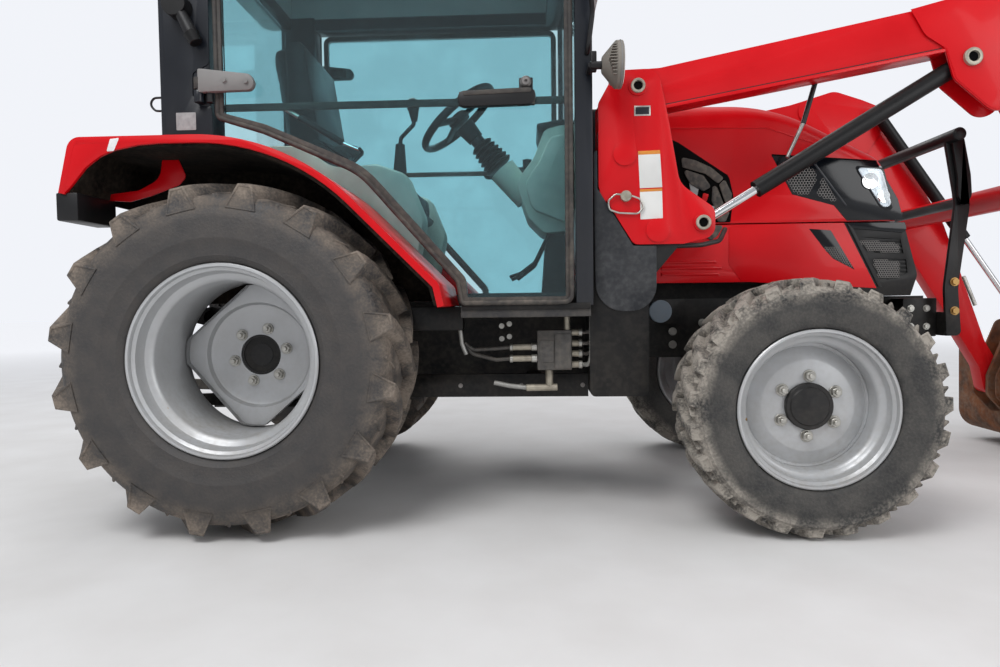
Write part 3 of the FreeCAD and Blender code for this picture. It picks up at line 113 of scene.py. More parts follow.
class Shader:
    """The node graph of one procedural material."""

    def __init__(self, name: str) -> None:
        """Starts a material with one Principled surface.

        Args:
            name: Name of the material.
        """
        self.material = bpy.data.materials.new(name)
        self.material.use_nodes = True
        self.tree = self.material.node_tree
        self.surface = next(n for n in self.tree.nodes if n.type == "BSDF_PRINCIPLED")
        self.place = self.add("ShaderNodeTexCoord").outputs["Object"]

    def add(self, kind: str, inputs: dict | None = None, **options: object) -> bpy.types.Node:
        """Adds a node.

        Args:
            kind: Blender's name of the node type.
            inputs: Input names or numbers, each with a value or an output to link.
            options: Properties of the node.

        Returns:
            The node.
        """
        made = self.tree.nodes.new(kind)
        for key, value in options.items():
            setattr(made, key, value)
        for key, value in (inputs or {}).items():
            self.feed(made.inputs[key], value)
        return made

    def feed(self, socket: bpy.types.NodeSocket, value: object) -> None:
        """Links an output to a socket, or sets its value.

        Args:
            socket: Input socket.
            value: An output socket, a number, or a colour.
        """
        if isinstance(value, bpy.types.NodeSocket):
            self.tree.links.new(value, socket)
        elif socket.type == "RGBA" and len(value) == 3:
            socket.default_value = (*value, 1.0)
        else:
            socket.default_value = value

    def noise(self, scale: float, detail: float = 4.0, place: object = None) -> bpy.types.NodeSocket:
        """Noise on the object's own coordinates.

        Args:
            scale: Cells per metre.
            detail: Octaves.
            place: Coordinates other than the object's.

        Returns:
            The noise value, 0 to 1.
        """
        made = self.add("ShaderNodeTexNoise", {"Scale": scale, "Detail": detail, "Vector": place or self.place})
        return made.outputs["Fac"]

    def span(self, value: object, low: float, high: float, start: float = 0.0,
             end: float = 1.0) -> bpy.types.NodeSocket:
        """Maps a value from low..high to start..end, clamped.

        Args:
            value: Output to map.
            low: Value that gives start.
            high: Value that gives end.
            start: First result.
            end: Last result.

        Returns:
            The mapped value.
        """
        made = self.add("ShaderNodeMapRange", {"Value": value, "From Min": low, "From Max": high,
                                               "To Min": start, "To Max": end})
        return made.outputs["Result"]

    def maths(self, operation: str, first: object, second: object = 0.0) -> bpy.types.NodeSocket:
        """One sum of two values.

        Args:
            operation: Blender's name of the operation.
            first: First value.
            second: Second value.

        Returns:
            The result.
        """
        return self.add("ShaderNodeMath", {0: first, 1: second}, operation=operation).outputs[0]

    def mix(self, factor: object, first: object, second: object) -> bpy.types.NodeSocket:
        """Mixes two colours.

        Args:
            factor: Share of the second colour.
            first: First colour.
            second: Second colour.

        Returns:
            The mixed colour.
        """
        made = self.add("ShaderNodeMix", data_type="RGBA")
        for socket, value in ((made.inputs[0], factor), (made.inputs[6], first), (made.inputs[7], second)):
            self.feed(socket, value)
        return made.outputs[2]

    def axis(self, letter: str) -> bpy.types.NodeSocket:
        """One coordinate of the place.

        Args:
            letter: X, Y or Z.

        Returns:
            The coordinate in metres.
        """
        return self.add("ShaderNodeSeparateXYZ", {0: self.place}).outputs[letter]

    def upward(self) -> bpy.types.NodeSocket:
        """How far the surface faces up, from -1 to 1."""
        normal = self.add("ShaderNodeNewGeometry").outputs["Normal"]
        return self.add("ShaderNodeSeparateXYZ", {0: normal}).outputs["Z"]

    def bump(self, height: object, depth: float) -> None:
        """Roughens the surface.

        Args:
            height: Output that gives the height, 0 to 1.
            depth: Depth of the relief in metres.
        """
        made = self.add("ShaderNodeBump", {"Height": height, "Distance": depth, "Strength": 1.0})
        self.feed(self.surface.inputs["Normal"], made.outputs["Normal"])

    def set(self, **values: object) -> None:
        """Sets or links inputs of the surface, with _ for a space in their names.

        Args:
            values: Value or output for each input.
        """
        for key, value in values.items():
            self.feed(self.surface.inputs[key.replace("_", " ")], value)


@dataclass(frozen=True)
class Finish:
    """A finish with grain, uneven colour, and dust that has settled on it.

    Lengths are in metres and the colours are linear.
    """

    name: str
    colour: Colour
    roughness: float = 0.45
    metallic: float = 0.0
    coat: float = 0.0
    mottle: float = 0.25
    mottle_scale: float = 6.0
    grain: float = 0.00008
    grain_scale: float = 350.0
    dust: float = 0.25
    dust_colour: Colour = (0.30, 0.26, 0.21)
    dust_top: float = 1.1
    shine: float = 0.5

    def build(self) -> bpy.types.Material:
        """Makes the material.

        Returns:
            The material.
        """
        shader = Shader(self.name)
        blotch = shader.noise(self.mottle_scale, 5.0)
        fine = shader.noise(self.grain_scale, 3.0)
        shade = tuple(channel * (1.0 - self.mottle) for channel in self.colour)
        base = shader.mix(shader.span(blotch, 0.35, 0.65), shade, self.colour)
        low = shader.span(shader.axis("Z"), self.dust_top, 0.2)
        top = shader.span(shader.upward(), 0.35, 1.0)
        speck = shader.span(shader.noise(55.0, 6.0), 0.42, 0.68)
        patch = shader.span(shader.noise(9.0, 5.0), 0.38, 0.66)
        place = shader.maths("ADD", shader.maths("MULTIPLY", low, 0.7), shader.maths("MULTIPLY", top, 0.6))
        film = shader.maths("MULTIPLY", shader.maths("ADD", speck, patch), place)
        film = shader.maths("MINIMUM", shader.maths("MULTIPLY", film, self.dust), 1.0)
        shader.set(Base_Color=shader.mix(film, base, self.dust_colour), Metallic=self.metallic)
        worn = shader.span(blotch, 0.3, 0.7, self.roughness * 0.85, min(1.0, self.roughness * 1.2))
        rough = shader.maths("MINIMUM", shader.maths("ADD", worn, shader.maths("MULTIPLY", film, 0.5)), 1.0)
        shader.set(Roughness=rough)
        shader.surface.inputs["Coat Weight"].default_value = self.coat
        shader.surface.inputs["Coat Roughness"].default_value = 0.08
        shader.surface.inputs["Specular IOR Level"].default_value = self.shine
        shader.bump(fine, self.grain)
        return shader.material


@dataclass(frozen=True)
class Rubber(Finish):
    """Tyre rubber with dust on the tread, thinner down the sidewall."""

    centre: Flat = (0.0, 0.0)
    tread: float = 0.5
    tip: float = 0.6

    def build(self) -> bpy.types.Material:
        """Makes the material.

        Returns:
            The material.
        """
        shader = Shader(self.name)
        across = shader.maths("SUBTRACT", shader.axis("X"), self.centre[0])
        up = shader.maths("SUBTRACT", shader.axis("Z"), self.centre[1])
        squares = shader.maths("ADD", shader.maths("MULTIPLY", across, across), shader.maths("MULTIPLY", up, up))
        out = shader.maths("SQRT", squares)
        tread = shader.span(out, self.tread, self.tip)
        smear = shader.span(shader.noise(14.0, 8.0), 0.36, 0.64)
        speck = shader.span(shader.noise(120.0, 6.0), 0.4, 0.7)
        spread = shader.maths("ADD", shader.maths("MULTIPLY", smear, 0.7), shader.maths("MULTIPLY", speck, 0.45))
        film = shader.maths("MULTIPLY", spread, shader.maths("ADD", shader.maths("MULTIPLY", tread, 0.8), 0.09))
        film = shader.maths("MINIMUM", shader.maths("MULTIPLY", film, self.dust), 1.0)
        shader.set(Base_Color=shader.mix(film, self.colour, self.dust_colour))
        shader.set(Roughness=shader.span(film, 0.0, 0.5, self.roughness, 0.95))
        shader.bump(shader.maths("ADD", shader.noise(60.0, 6.0), speck), 0.0006)
        return shader.material


@dataclass(frozen=True)
class Pane:
    """Tinted glass with a faint film of dust."""

    name: str
    tint: Colour
    rough: float = 0.02

    def build(self) -> bpy.types.Material:
        """Makes the material.

        Returns:
            The material.
        """
        shader = Shader(self.name)
        film = shader.span(shader.noise(5.0, 8.0), 0.45, 0.8)
        pale = tuple(min(1.0, channel * 1.12) for channel in self.tint)
        shader.set(Base_Color=shader.mix(film, self.tint, pale), IOR=1.45)
        shader.set(Roughness=shader.span(film, 0.0, 1.0, self.rough, self.rough + 0.06))
        shader.surface.inputs["Transmission Weight"].default_value = 1.0
        return shader.material


class Look(Enum):
    """The finishes of the tractor."""

    RED = Finish("red_paint", (0.60, 0.0012, 0.0055), 0.34, coat=0.12, mottle=0.08, dust=0.05, dust_top=0.9,
                 grain=0.00003, grain_scale=220.0, shine=0.22)
    DARK = Finish("dark_blue_paint", (0.005, 0.0075, 0.013), 0.35, coat=0.25, dust=0.05, shine=0.4)
    BLACK = Finish("black_paint", (0.004, 0.004, 0.0045), 0.42, dust=0.09, shine=0.3)
    CASTING = Finish("black_casting", (0.008, 0.008, 0.009), 0.6, grain=0.0005, grain_scale=260.0, dust=0.20,
                     shine=0.35)
    SKIRT = Finish("dusty_rubber_skirt", (0.022, 0.024, 0.028), 0.6, grain=0.0002, dust=0.30, dust_top=1.6,
                   dust_colour=(0.22, 0.22, 0.22), shine=0.3)
    GLOSS = Finish("gloss_black", (0.002, 0.003, 0.005), 0.12, coat=0.15, mottle=0.05, dust=0.02, shine=0.3)
    MESH = Finish("steel_mesh", (0.20, 0.19, 0.18), 0.5, metallic=0.3, dust=0.1)
    GREY = Finish("grey_interior_plastic", (0.60, 0.68, 0.60), 0.55, grain=0.00025, grain_scale=900.0, dust=0.06)
    TRIM = Finish("black_plastic", (0.007, 0.007, 0.008), 0.45, grain=0.0002, grain_scale=900.0, dust=0.06,
                  shine=0.4)
    SILVER = Finish("silver_rim_paint", (0.50, 0.51, 0.52), 0.36, metallic=0.35, coat=0.2, mottle=0.12,
                    dust=0.22, dust_top=1.0)
    STEEL = Finish("worn_steel", (0.33, 0.31, 0.30), 0.42, metallic=0.85, mottle=0.45, mottle_scale=18.0)
    ZINC = Finish("plated_steel", (0.55, 0.54, 0.50), 0.34, metallic=0.9, mottle=0.3, mottle_scale=30.0, dust=0.2)
    CHROME = Finish("chrome_rod", (0.78, 0.79, 0.80), 0.09, metallic=1.0, mottle=0.05, grain=0.00001, dust=0.02)
    RUST = Finish("rusty_bucket_steel", (0.24, 0.085, 0.03), 0.8, metallic=0.15, mottle=0.7, mottle_scale=14.0,
                  grain=0.0008, grain_scale=160.0, dust=0.35)
    ROOF = Finish("pale_roof_plastic", (0.55, 0.56, 0.55), 0.5, mottle=0.06, dust=0.04)
    VINYL = Finish("black_seat_vinyl", (0.02, 0.02, 0.022), 0.55, grain=0.0004, grain_scale=500.0, dust=0.08)
    LABEL = Finish("blank_label", (0.72, 0.72, 0.70), 0.5, mottle=0.12, dust=0.15)
    BRASS = Finish("brass_valve", (0.45, 0.27, 0.09), 0.4, metallic=0.8)
    LENS = Finish("lamp_lens", (0.85, 0.86, 0.86), 0.12, coat=0.6, grain=0.0002, grain_scale=220.0, dust=0.05)
    BEIGE = Finish("work_lamp_shell", (0.20, 0.18, 0.155), 0.6, dust=0.15, dust_top=2.4)
    FLOOR_MAT = Finish("cab_floor_rubber", (0.03, 0.03, 0.032), 0.75, grain=0.0003, grain_scale=220.0, dust=0.3)
    REAR_RUBBER = Rubber("rear_tyre_rubber", (0.040, 0.038, 0.038), 0.55, dust=1.4,
                         dust_colour=(0.225, 0.185, 0.150), centre=(REAR_AXLE_X, 0.606), tread=0.47, tip=0.585)
    FRONT_RUBBER = Rubber("front_tyre_rubber", (0.022, 0.022, 0.022), 0.55, dust=1.7,
                          dust_colour=(0.33, 0.30, 0.26), centre=(FRONT_AXLE_X, 0.431), tread=0.345, tip=0.40)
    PIN = Finish("pin_steel", (0.46, 0.42, 0.34), 0.42, metallic=0.5, mottle=0.35, mottle_scale=40.0)
    CLOTH = Finish("folded_boot", (0.040, 0.042, 0.043), 0.75, mottle=0.5, mottle_scale=30.0, grain=0.0006,
                   grain_scale=180.0, dust=0.7, dust_top=2.4)
    STEEL_LINE = Finish("steel_line", (0.05, 0.05, 0.05), 0.35, metallic=0.5, dust=0.3)
    # Dark red painted shadow, laid as a thin line along the boom.
    SHADOW = Finish("dark_seam", (0.05, 0.002, 0.004), 0.6)
    SEAL = Finish("door_seal", (0.030, 0.027, 0.026), 0.65, dust=0.32, dust_top=2.6)
    HINGE = Finish("grey_hinge", (0.20, 0.195, 0.19), 0.55, dust=0.2)
    # Near-black painted shade, laid in pin bores, behind the air boot and along the hood window's lower edge.
    SHADOW_BLACK = Finish("dark_hollow", (0.002, 0.002, 0.002), 0.9, dust=0.0, shine=0.1)
    # Near-black painted shade for the fender arches' undersides; the dust on it is real, in a colour darkened as shade.
    UNDERSIDE = Finish("dusty_underside", (0.004, 0.0035, 0.003), 0.9, grain=0.0008, grain_scale=120.0, dust=0.30,
                       dust_top=2.6, dust_colour=(0.16, 0.12, 0.09), shine=0.15)
    VALVE = Finish("cast_valve", (0.075, 0.072, 0.070), 0.6, mottle=0.5, mottle_scale=40.0, dust=0.35)
    LINE_PALE = Finish("pale_steel_line", (0.42, 0.42, 0.40), 0.4, metallic=0.6, mottle=0.3, mottle_scale=30.0)
    LABEL_GREY = Finish("grey_label", (0.36, 0.37, 0.37), 0.5, mottle=0.25, mottle_scale=60.0, dust=0.1)
    STRIPE = Finish("orange_stripe", (0.72, 0.26, 0.03), 0.5, dust=0.1)
    BOWL = Finish("lamp_bowl", (0.42, 0.45, 0.49), 0.16, metallic=0.7, mottle=0.35, mottle_scale=22.0, dust=0.0)
    FILTER = Finish("filter_cap", (0.16, 0.21, 0.26), 0.5, mottle=0.15, dust=0.3)
    LENS_RED = Finish("red_lens", (0.35, 0.004, 0.004), 0.15, coat=0.6)
    LENS_AMBER = Finish("amber_lens", (0.55, 0.16, 0.005), 0.15, coat=0.6)
    GLASS = Pane("teal_glass", (0.47, 0.71, 0.75))
    CLEAR = Pane("clear_lens", (0.93, 0.95, 0.95))


MATERIALS: dict[Look, bpy.types.Material] = {}


def finish(look: Look) -> bpy.types.Material:
    """The material of a finish, made when it is first asked for.

    Args:
        look: The finish.

    Returns:
        The material.
    """
    if look not in MATERIALS:
        MATERIALS[look] = look.value.build()
    return MATERIALS[look]


# Meshes


def new_piece(name: str, points: Sequence[Sequence[float]], faces: Sequence[Sequence[int]],
              look: Look) -> bpy.types.Object:
    """Makes a piece from points and faces, with its place in its mesh.

    Args:
        name: Name of the piece.
        points: Corners in metres.
        faces: Corner numbers of each face.
        look: Finish of the piece.

    Returns:
        The piece.
    """
    mesh = bpy.data.meshes.new(name)
    mesh.from_pydata([tuple(point) for point in points], [], [tuple(f) for f in faces])
    piece = bpy.data.objects.new(name, mesh)
    bpy.context.scene.collection.objects.link(piece)
    mesh.materials.append(finish(look))
    return piece


def baked(piece: bpy.types.Object) -> bpy.types.Object:
    """Turns a piece's modifiers into plain mesh.

    Args:
        piece: Piece with live modifiers.

    Returns:
        The same piece, without modifiers.
    """
    graph = bpy.context.evaluated_depsgraph_get()
    mesh = bpy.data.meshes.new_from_object(piece.evaluated_get(graph))
    piece.modifiers.clear()
    old = piece.data
    piece.data = mesh
    mesh.name = piece.name
    bpy.data.meshes.remove(old)
    return piece


def smooth(piece: bpy.types.Object, degrees: float = 32.0) -> bpy.types.Object:
    """Shades a piece smooth up to an edge angle.

    Args:
        piece: The piece.
        degrees: Edges sharper than this stay sharp.

    Returns:
        The piece.
    """
    piece.data.shade_smooth()
    piece.data.set_sharp_from_angle(angle=math.radians(degrees))
    return piece


def settle(piece: bpy.types.Object, body: str, *nodes: str) -> bpy.types.Object:
    """Puts a finished piece on its body and hides the nodes it stands for.

    Args:
        piece: The piece.
        body: Name of the body that it rides on.
        nodes: CAD nodes that it replaces.

    Returns:
        The piece.
    """
    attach(piece, body)
    if nodes:
        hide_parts(*nodes)
    LOG.info("%s rides on %s, %d faces", piece.name, body, len(piece.data.polygons))
    return piece


def clean_copy(node: str, angle: float = 0.6) -> bmesh.types.BMesh:
    """A merged copy of a CAD node's mesh, with its flat faces whole again.

    Args:
        node: Name of the node.
        angle: Angle in degrees under which faces count as flat.

    Returns:
        The copy.
    """
    copy = bmesh.new()
    copy.from_mesh(frame["nodes"][node].data)
    bmesh.ops.remove_doubles(copy, verts=copy.verts, dist=0.00002)
    bmesh.ops.dissolve_limit(copy, angle_limit=math.radians(angle), verts=copy.verts, edges=copy.edges)
    return copy


def dressed(node: str, look: Look, width: float = 0.002, body: str | None = None) -> bpy.types.Object:
    """A copy of a node with its edges eased, which replaces the node.

    Args:
        node: Name of the node.
        look: Finish.
        width: Size of the eased edges.
        body: Body that it rides on, if not the node's own.

    Returns:
        The piece.
    """
    copy = clean_copy(node)
    mesh = bpy.data.meshes.new(node + "_skin")
    copy.to_mesh(mesh)
    copy.free()
    piece = bpy.data.objects.new(node + "_skin", mesh)
    bpy.context.scene.collection.objects.link(piece)
    mesh.materials.clear()
    mesh.materials.append(finish(look))
    bevel = piece.modifiers.new("edges", "BEVEL")
    bevel.width = width
    bevel.segments = 2
    bevel.limit_method = "ANGLE"
    bevel.angle_limit = math.radians(35)
    bevel.use_clamp_overlap = True
    baked(piece)
    smooth(piece)
    return settle(piece, body or frame["nodes"][node]["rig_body"], node)


def paint(look: Look, *nodes: str) -> None:
    """Gives CAD nodes their finish.

    Args:
        look: The finish.
        nodes: Names of the nodes.
    """
    for node in nodes:
        mesh = frame["nodes"][node].data
        mesh.materials.clear()
        mesh.materials.append(finish(look))
        LOG.info("%s is shown as it is, with the finish %s", node, look.name)


# Geometry Nodes


class Tree:
    """A Geometry Nodes tree with named inputs, whose result is made plain mesh."""

    def __init__(self, name: str, sizes: Sequence[tuple[str, str]]) -> None:
        """Starts a tree with a geometry input, its sizes and a material.

        Args:
            name: Name of the tree.
            sizes: Name and socket type of each further input.
        """
        self.tree = bpy.data.node_groups.new(name, "GeometryNodeTree")
        face = self.tree.interface
        face.new_socket("Geometry", in_out="INPUT", socket_type="NodeSocketGeometry")
        for label, kind in sizes:
            face.new_socket(label, in_out="INPUT", socket_type=kind)
        face.new_socket("Material", in_out="INPUT", socket_type="NodeSocketMaterial")
        face.new_socket("Geometry", in_out="OUTPUT", socket_type="NodeSocketGeometry")
        self.source = self.tree.nodes.new("NodeGroupInput").outputs
        self.end = self.tree.nodes.new("NodeGroupOutput").inputs

    def add(self, kind: str, inputs: dict, output: str | int = 0, **options: object) -> bpy.types.NodeSocket:
        """Adds a node.

        Args:
            kind: Blender's name of the node type.
            inputs: Input names or numbers, each with a value or an output to link.
            output: Output to return.
            options: Properties of the node.

        Returns:
            The output.
        """
        made = self.tree.nodes.new(kind)
        for key, value in options.items():
            setattr(made, key, value)
        for key, value in inputs.items():
            if isinstance(value, bpy.types.NodeSocket):
                self.tree.links.new(value, made.inputs[key])
            else:
                made.inputs[key].default_value = value
        return made.outputs[output]

    def close(self, geometry: bpy.types.NodeSocket) -> None:
        """Realizes the instances and sets their material.

        Args:
            geometry: What the tree has made.
        """
        real = self.add("GeometryNodeRealizeInstances", {"Geometry": geometry})
        faced = self.add("GeometryNodeSetMaterial", {"Geometry": real, "Material": self.source["Material"]})
        self.tree.links.new(faced, self.end["Geometry"])

    def grow(self, source: bpy.types.Object, name: str, look: Look, **values: object) -> bpy.types.Object:
        """Runs the tree on a shape and keeps the result as a plain mesh.

        Args:
            source: Shape that is used up.
            name: Name of the piece.
            look: Finish of the piece.
            values: Value of each named input, with _ for a space.

        Returns:
            The piece.
        """
        nodes = source.modifiers.new("pattern", "NODES")
        nodes.node_group = self.tree
        keys = {item.name: item.identifier for item in self.tree.interface.items_tree if item.in_out == "INPUT"}
        for key, value in values.items():
            nodes[keys[key.replace("_", " ")]] = value
        nodes[keys["Material"]] = finish(look)
        graph = bpy.context.evaluated_depsgraph_get()
        mesh = bpy.data.meshes.new_from_object(source.evaluated_get(graph))
        mesh.name = name
        bpy.data.objects.remove(source)
        piece = bpy.data.objects.new(name, mesh)
        bpy.context.scene.collection.objects.link(piece)
        return piece


def ring_tree() -> Tree:
    """A tree that repeats a shape round the Y direction through a centre."""
    made = Tree("ring", (("Count", "NodeSocketInt"), ("Centre", "NodeSocketVector"), ("First", "NodeSocketFloat")))
    back = made.add("ShaderNodeVectorMath", {0: made.source["Centre"], 1: (-1.0, -1.0, -1.0)}, operation="MULTIPLY")
    item = made.add("GeometryNodeTransform", {"Geometry": made.source["Geometry"], "Translation": back})
    points = made.add("GeometryNodePoints", {"Count": made.source["Count"]})
    step = made.add("ShaderNodeMath", {0: math.tau, 1: made.source["Count"]}, operation="DIVIDE")
    index = made.add("GeometryNodeInputIndex", {})
    angle = made.add("ShaderNodeMath", {0: index, 1: step, 2: made.source["First"]}, operation="MULTIPLY_ADD")
    turn = made.add("ShaderNodeCombineXYZ", {"Y": angle})
    copies = made.add("GeometryNodeInstanceOnPoints", {"Points": points, "Instance": item, "Rotation": turn})
    real = made.add("GeometryNodeRealizeInstances", {"Geometry": copies})
    made.close(made.add("GeometryNodeTransform", {"Geometry": real, "Translation": made.source["Centre"]}))
    return made


def grid_tree() -> Tree:
    """A tree that repeats a shape in rows, each shifted by a share of a step."""
    made = Tree("grid", (("Columns", "NodeSocketInt"), ("Rows", "NodeSocketInt"), ("Across", "NodeSocketVector"),
                         ("Along", "NodeSocketVector"), ("Shift", "NodeSocketFloat")))
    total = made.add("ShaderNodeMath", {0: made.source["Columns"], 1: made.source["Rows"]}, operation="MULTIPLY")
    points = made.add("GeometryNodePoints", {"Count": total})
    index = made.add("GeometryNodeInputIndex", {})
    column = made.add("ShaderNodeMath", {0: index, 1: made.source["Columns"]}, operation="MODULO")
    share = made.add("ShaderNodeMath", {0: index, 1: made.source["Columns"]}, operation="DIVIDE")
    nudged = made.add("ShaderNodeMath", {0: share, 1: 0.0001}, operation="ADD")
    row = made.add("ShaderNodeMath", {0: nudged}, operation="FLOOR")
    odd = made.add("ShaderNodeMath", {0: row, 1: 2.0}, operation="MODULO")
    place = made.add("ShaderNodeMath", {0: odd, 1: made.source["Shift"], 2: column}, operation="MULTIPLY_ADD")
    sideways = made.add("ShaderNodeVectorMath", {0: made.source["Across"], "Scale": place}, operation="SCALE")
    forward = made.add("ShaderNodeVectorMath", {0: made.source["Along"], "Scale": row}, operation="SCALE")
    offset = made.add("ShaderNodeVectorMath", {0: sideways, 1: forward}, operation="ADD")
    placed = made.add("GeometryNodeSetPosition", {"Geometry": points, "Offset": offset})
    made.close(made.add("GeometryNodeInstanceOnPoints", {"Points": placed, "Instance": made.source["Geometry"]}))
    return made


def spot_tree() -> Tree:
    """A tree that puts a copy of an object at each corner of a mesh."""
    made = Tree("spots", (("Item", "NodeSocketObject"), ("Turn", "NodeSocketVector")))
    item = made.add("GeometryNodeObjectInfo", {"Object": made.source["Item"]}, "Geometry")
    made.close(made.add("GeometryNodeInstanceOnPoints", {"Points": made.source["Geometry"], "Instance": item,
                                                        "Rotation": made.source["Turn"]}))
    return made


def sweep_tree() -> Tree:
    """A tree that bends a round bar or pipe along a line."""
    made = Tree("sweep", (("Radius", "NodeSocketFloat"), ("Bend", "NodeSocketFloat"), ("Sides", "NodeSocketInt")))
    line = made.add("GeometryNodeFilletCurve", {"Curve": made.source["Geometry"], "Radius": made.source["Bend"],
                                               "Count": 8, "Limit Radius": True}, mode="POLY")
    ring = made.add("GeometryNodeCurvePrimitiveCircle", {"Resolution": made.source["Sides"],
                                                        "Radius": made.source["Radius"]})
    pipe = made.add("GeometryNodeCurveToMesh", {"Curve": line, "Profile Curve": ring, "Fill Caps": True})
    made.close(pipe)
    return made


RING = ring_tree()
GRID = grid_tree()
SPOTS = spot_tree()
SWEEP = sweep_tree()


def pipe(name: str, points: Sequence[Point], radius: float, look: Look, bend: float = 0.03,
         sides: int = 14) -> bpy.types.Object:
    """A round bar or pipe through points, in millimetres from the rear axle.

    Args:
        name: Name of the piece.
        points: Corners of its line.
        radius: Radius in metres.
        look: Finish.
        bend: Radius of its bends in metres.
        sides: Faces round it.

    Returns:
        The piece.
    """
    curve = bpy.data.curves.new(name, "CURVE")
    curve.dimensions = "3D"
    line = curve.splines.new("POLY")
    line.points.add(len(points) - 1)
    for spot, place in zip(line.points, points):
        spot.co = (*here(*place), 1.0)
    path = bpy.data.objects.new(name, curve)
    bpy.context.scene.collection.objects.link(path)
    made = SWEEP.grow(path, name, look, Radius=radius, Bend=bend, Sides=sides)
    return smooth(made, 50.0)


def turned(name: str, profile: Sequence[Flat], centre: Point, look: Look, segments: int = 96,
           outward: int = 1, closed: bool = True, arc: float = math.tau) -> bpy.types.Object:
    """A shape turned round the Y direction.

    Args:
        name: Name of the piece.
        profile: Distance along the axis and radius of each corner, in millimetres.
        centre: A point of the axis, in metres.
        look: Finish.
        segments: Steps round the axis.
        outward: Sign of Y in which the profile's first number counts.
        closed: Joins the last corner to the first.
        arc: Angle that is turned through.

    Returns:
        The piece.
    """
    points = []
    faces = []
    count = len(profile)
    for step in range(segments):
        angle = arc * step / segments
        for along, radius in profile:
            points.append((centre[0] + radius / 1000.0 * math.sin(angle), centre[1] + outward * along / 1000.0,
                           centre[2] + radius / 1000.0 * math.cos(angle)))
    for step in range(segments):
        first = step * count
        second = (step + 1) % segments * count
        for at in range(count if closed else count - 1):
            ahead = (at + 1) % count
            faces.append((first + at, second + at, second + ahead, first + ahead))
    piece = new_piece(name, points, faces, look)
    tidy_normals(piece)
    return smooth(piece, 34.0)


def tidy_normals(piece: bpy.types.Object, merge: float = 0.00002) -> bpy.types.Object:
    """Merges a piece's doubled corners and turns its faces outwards.

    Args:
        piece: The piece.
        merge: Distance under which corners are one.

    Returns:
        The piece.
    """
    shape = bmesh.new()
    shape.from_mesh(piece.data)
    bmesh.ops.remove_doubles(shape, verts=shape.verts, dist=merge)
    bmesh.ops.dissolve_degenerate(shape, edges=shape.edges, dist=merge)
    bmesh.ops.recalc_face_normals(shape, faces=shape.faces)
    shape.to_mesh(piece.data)
    shape.free()
    return piece


def joined(name: str, pieces: Sequence[bpy.types.Object]) -> bpy.types.Object:
    """Makes one piece of several, each keeping its finish.

    Args:
        name: Name of the piece.
        pieces: Pieces that are used up.

    Returns:
        The piece.
    """
    with bpy.context.temp_override(active_object=pieces[0], selected_editable_objects=list(pieces)):
        bpy.ops.object.join()
    made = pieces[0]
    made.name = name
    made.data.name = name
    return made


def eased(piece: bpy.types.Object, width: float, segments: int = 2, degrees: float = 35.0) -> bpy.types.Object:
    """Rounds a piece's edges.

    Args:
        piece: The piece.
        width: Width of the rounding in metres.
        segments: Faces across the rounding.
        degrees: Edges flatter than this stay.

    Returns:
        The piece.
    """
    bevel = piece.modifiers.new("edges", "BEVEL")
    bevel.width = width
    bevel.segments = segments
    bevel.limit_method = "ANGLE"
    bevel.angle_limit = math.radians(degrees)
    baked(piece)
    return smooth(piece)


@dataclass
class Nut:
    """A hexagon nut on a stud, pointing along Y."""

    across: float = 0.030
    height: float = 0.018
    stud: float = 0.009
    proud: float = 0.010

    def build(self, name: str, centre: Point, outward: int, look: Look) -> bpy.types.Object:
        """Makes the nut.

        Args:
            name: Name of the piece.
            centre: Middle of its seat.
            outward: Sign of Y in which it points.
            look: Finish.

        Returns:
            The piece.
        """
        shape = bmesh.new()
        corner = self.across / math.sqrt(3.0)
        for radius, low, high, sides in ((corner * 1.25, 0.0, 0.003, 20), (corner, 0.003, self.height, 6),
                                         (self.stud, self.height, self.height + self.proud, 12)):
            turn = Matrix.Rotation(math.radians(90.0), 4, "X")
            place = Matrix.Translation((centre[0], centre[1] + outward * (low + high) / 2.0, centre[2]))
            bmesh.ops.create_cone(shape, cap_ends=True, segments=sides, radius1=radius, radius2=radius,
                                  depth=high - low, matrix=place @ turn)
        mesh = bpy.data.meshes.new(name)
        shape.to_mesh(mesh)
        shape.free()
        piece = bpy.data.objects.new(name, mesh)
        bpy.context.scene.collection.objects.link(piece)
        mesh.materials.append(finish(look))
        return eased(piece, 0.0012, 1)


# distance out from the tyre's middle, radius at the base and at the top, half width at the base and at the
# top, and how far it leads the shoulder end, in millimetres and degrees
REAR_LUG = ((206.0, 520.0, 585.0, 40.0, 24.0, 0.0), (170.0, 540.0, 593.0, 37.0, 23.0, 2.2),
            (120.0, 552.0, 600.0, 34.0, 22.0, 6.0), (60.0, 556.0, 604.5, 33.0, 21.0, 11.2),
            (-14.0, 558.0, 604.5, 34.0, 22.0, 17.6))
FRONT_LUG = ((130.0, 380.0, 418.0, 28.0, 22.0, 0.0), (104.0, 394.0, 424.0, 27.0, 21.0, 1.6),
             (64.0, 400.0, 429.5, 25.0, 18.0, 5.0), (-6.0, 401.0, 430.0, 24.0, 17.0, 11.0))


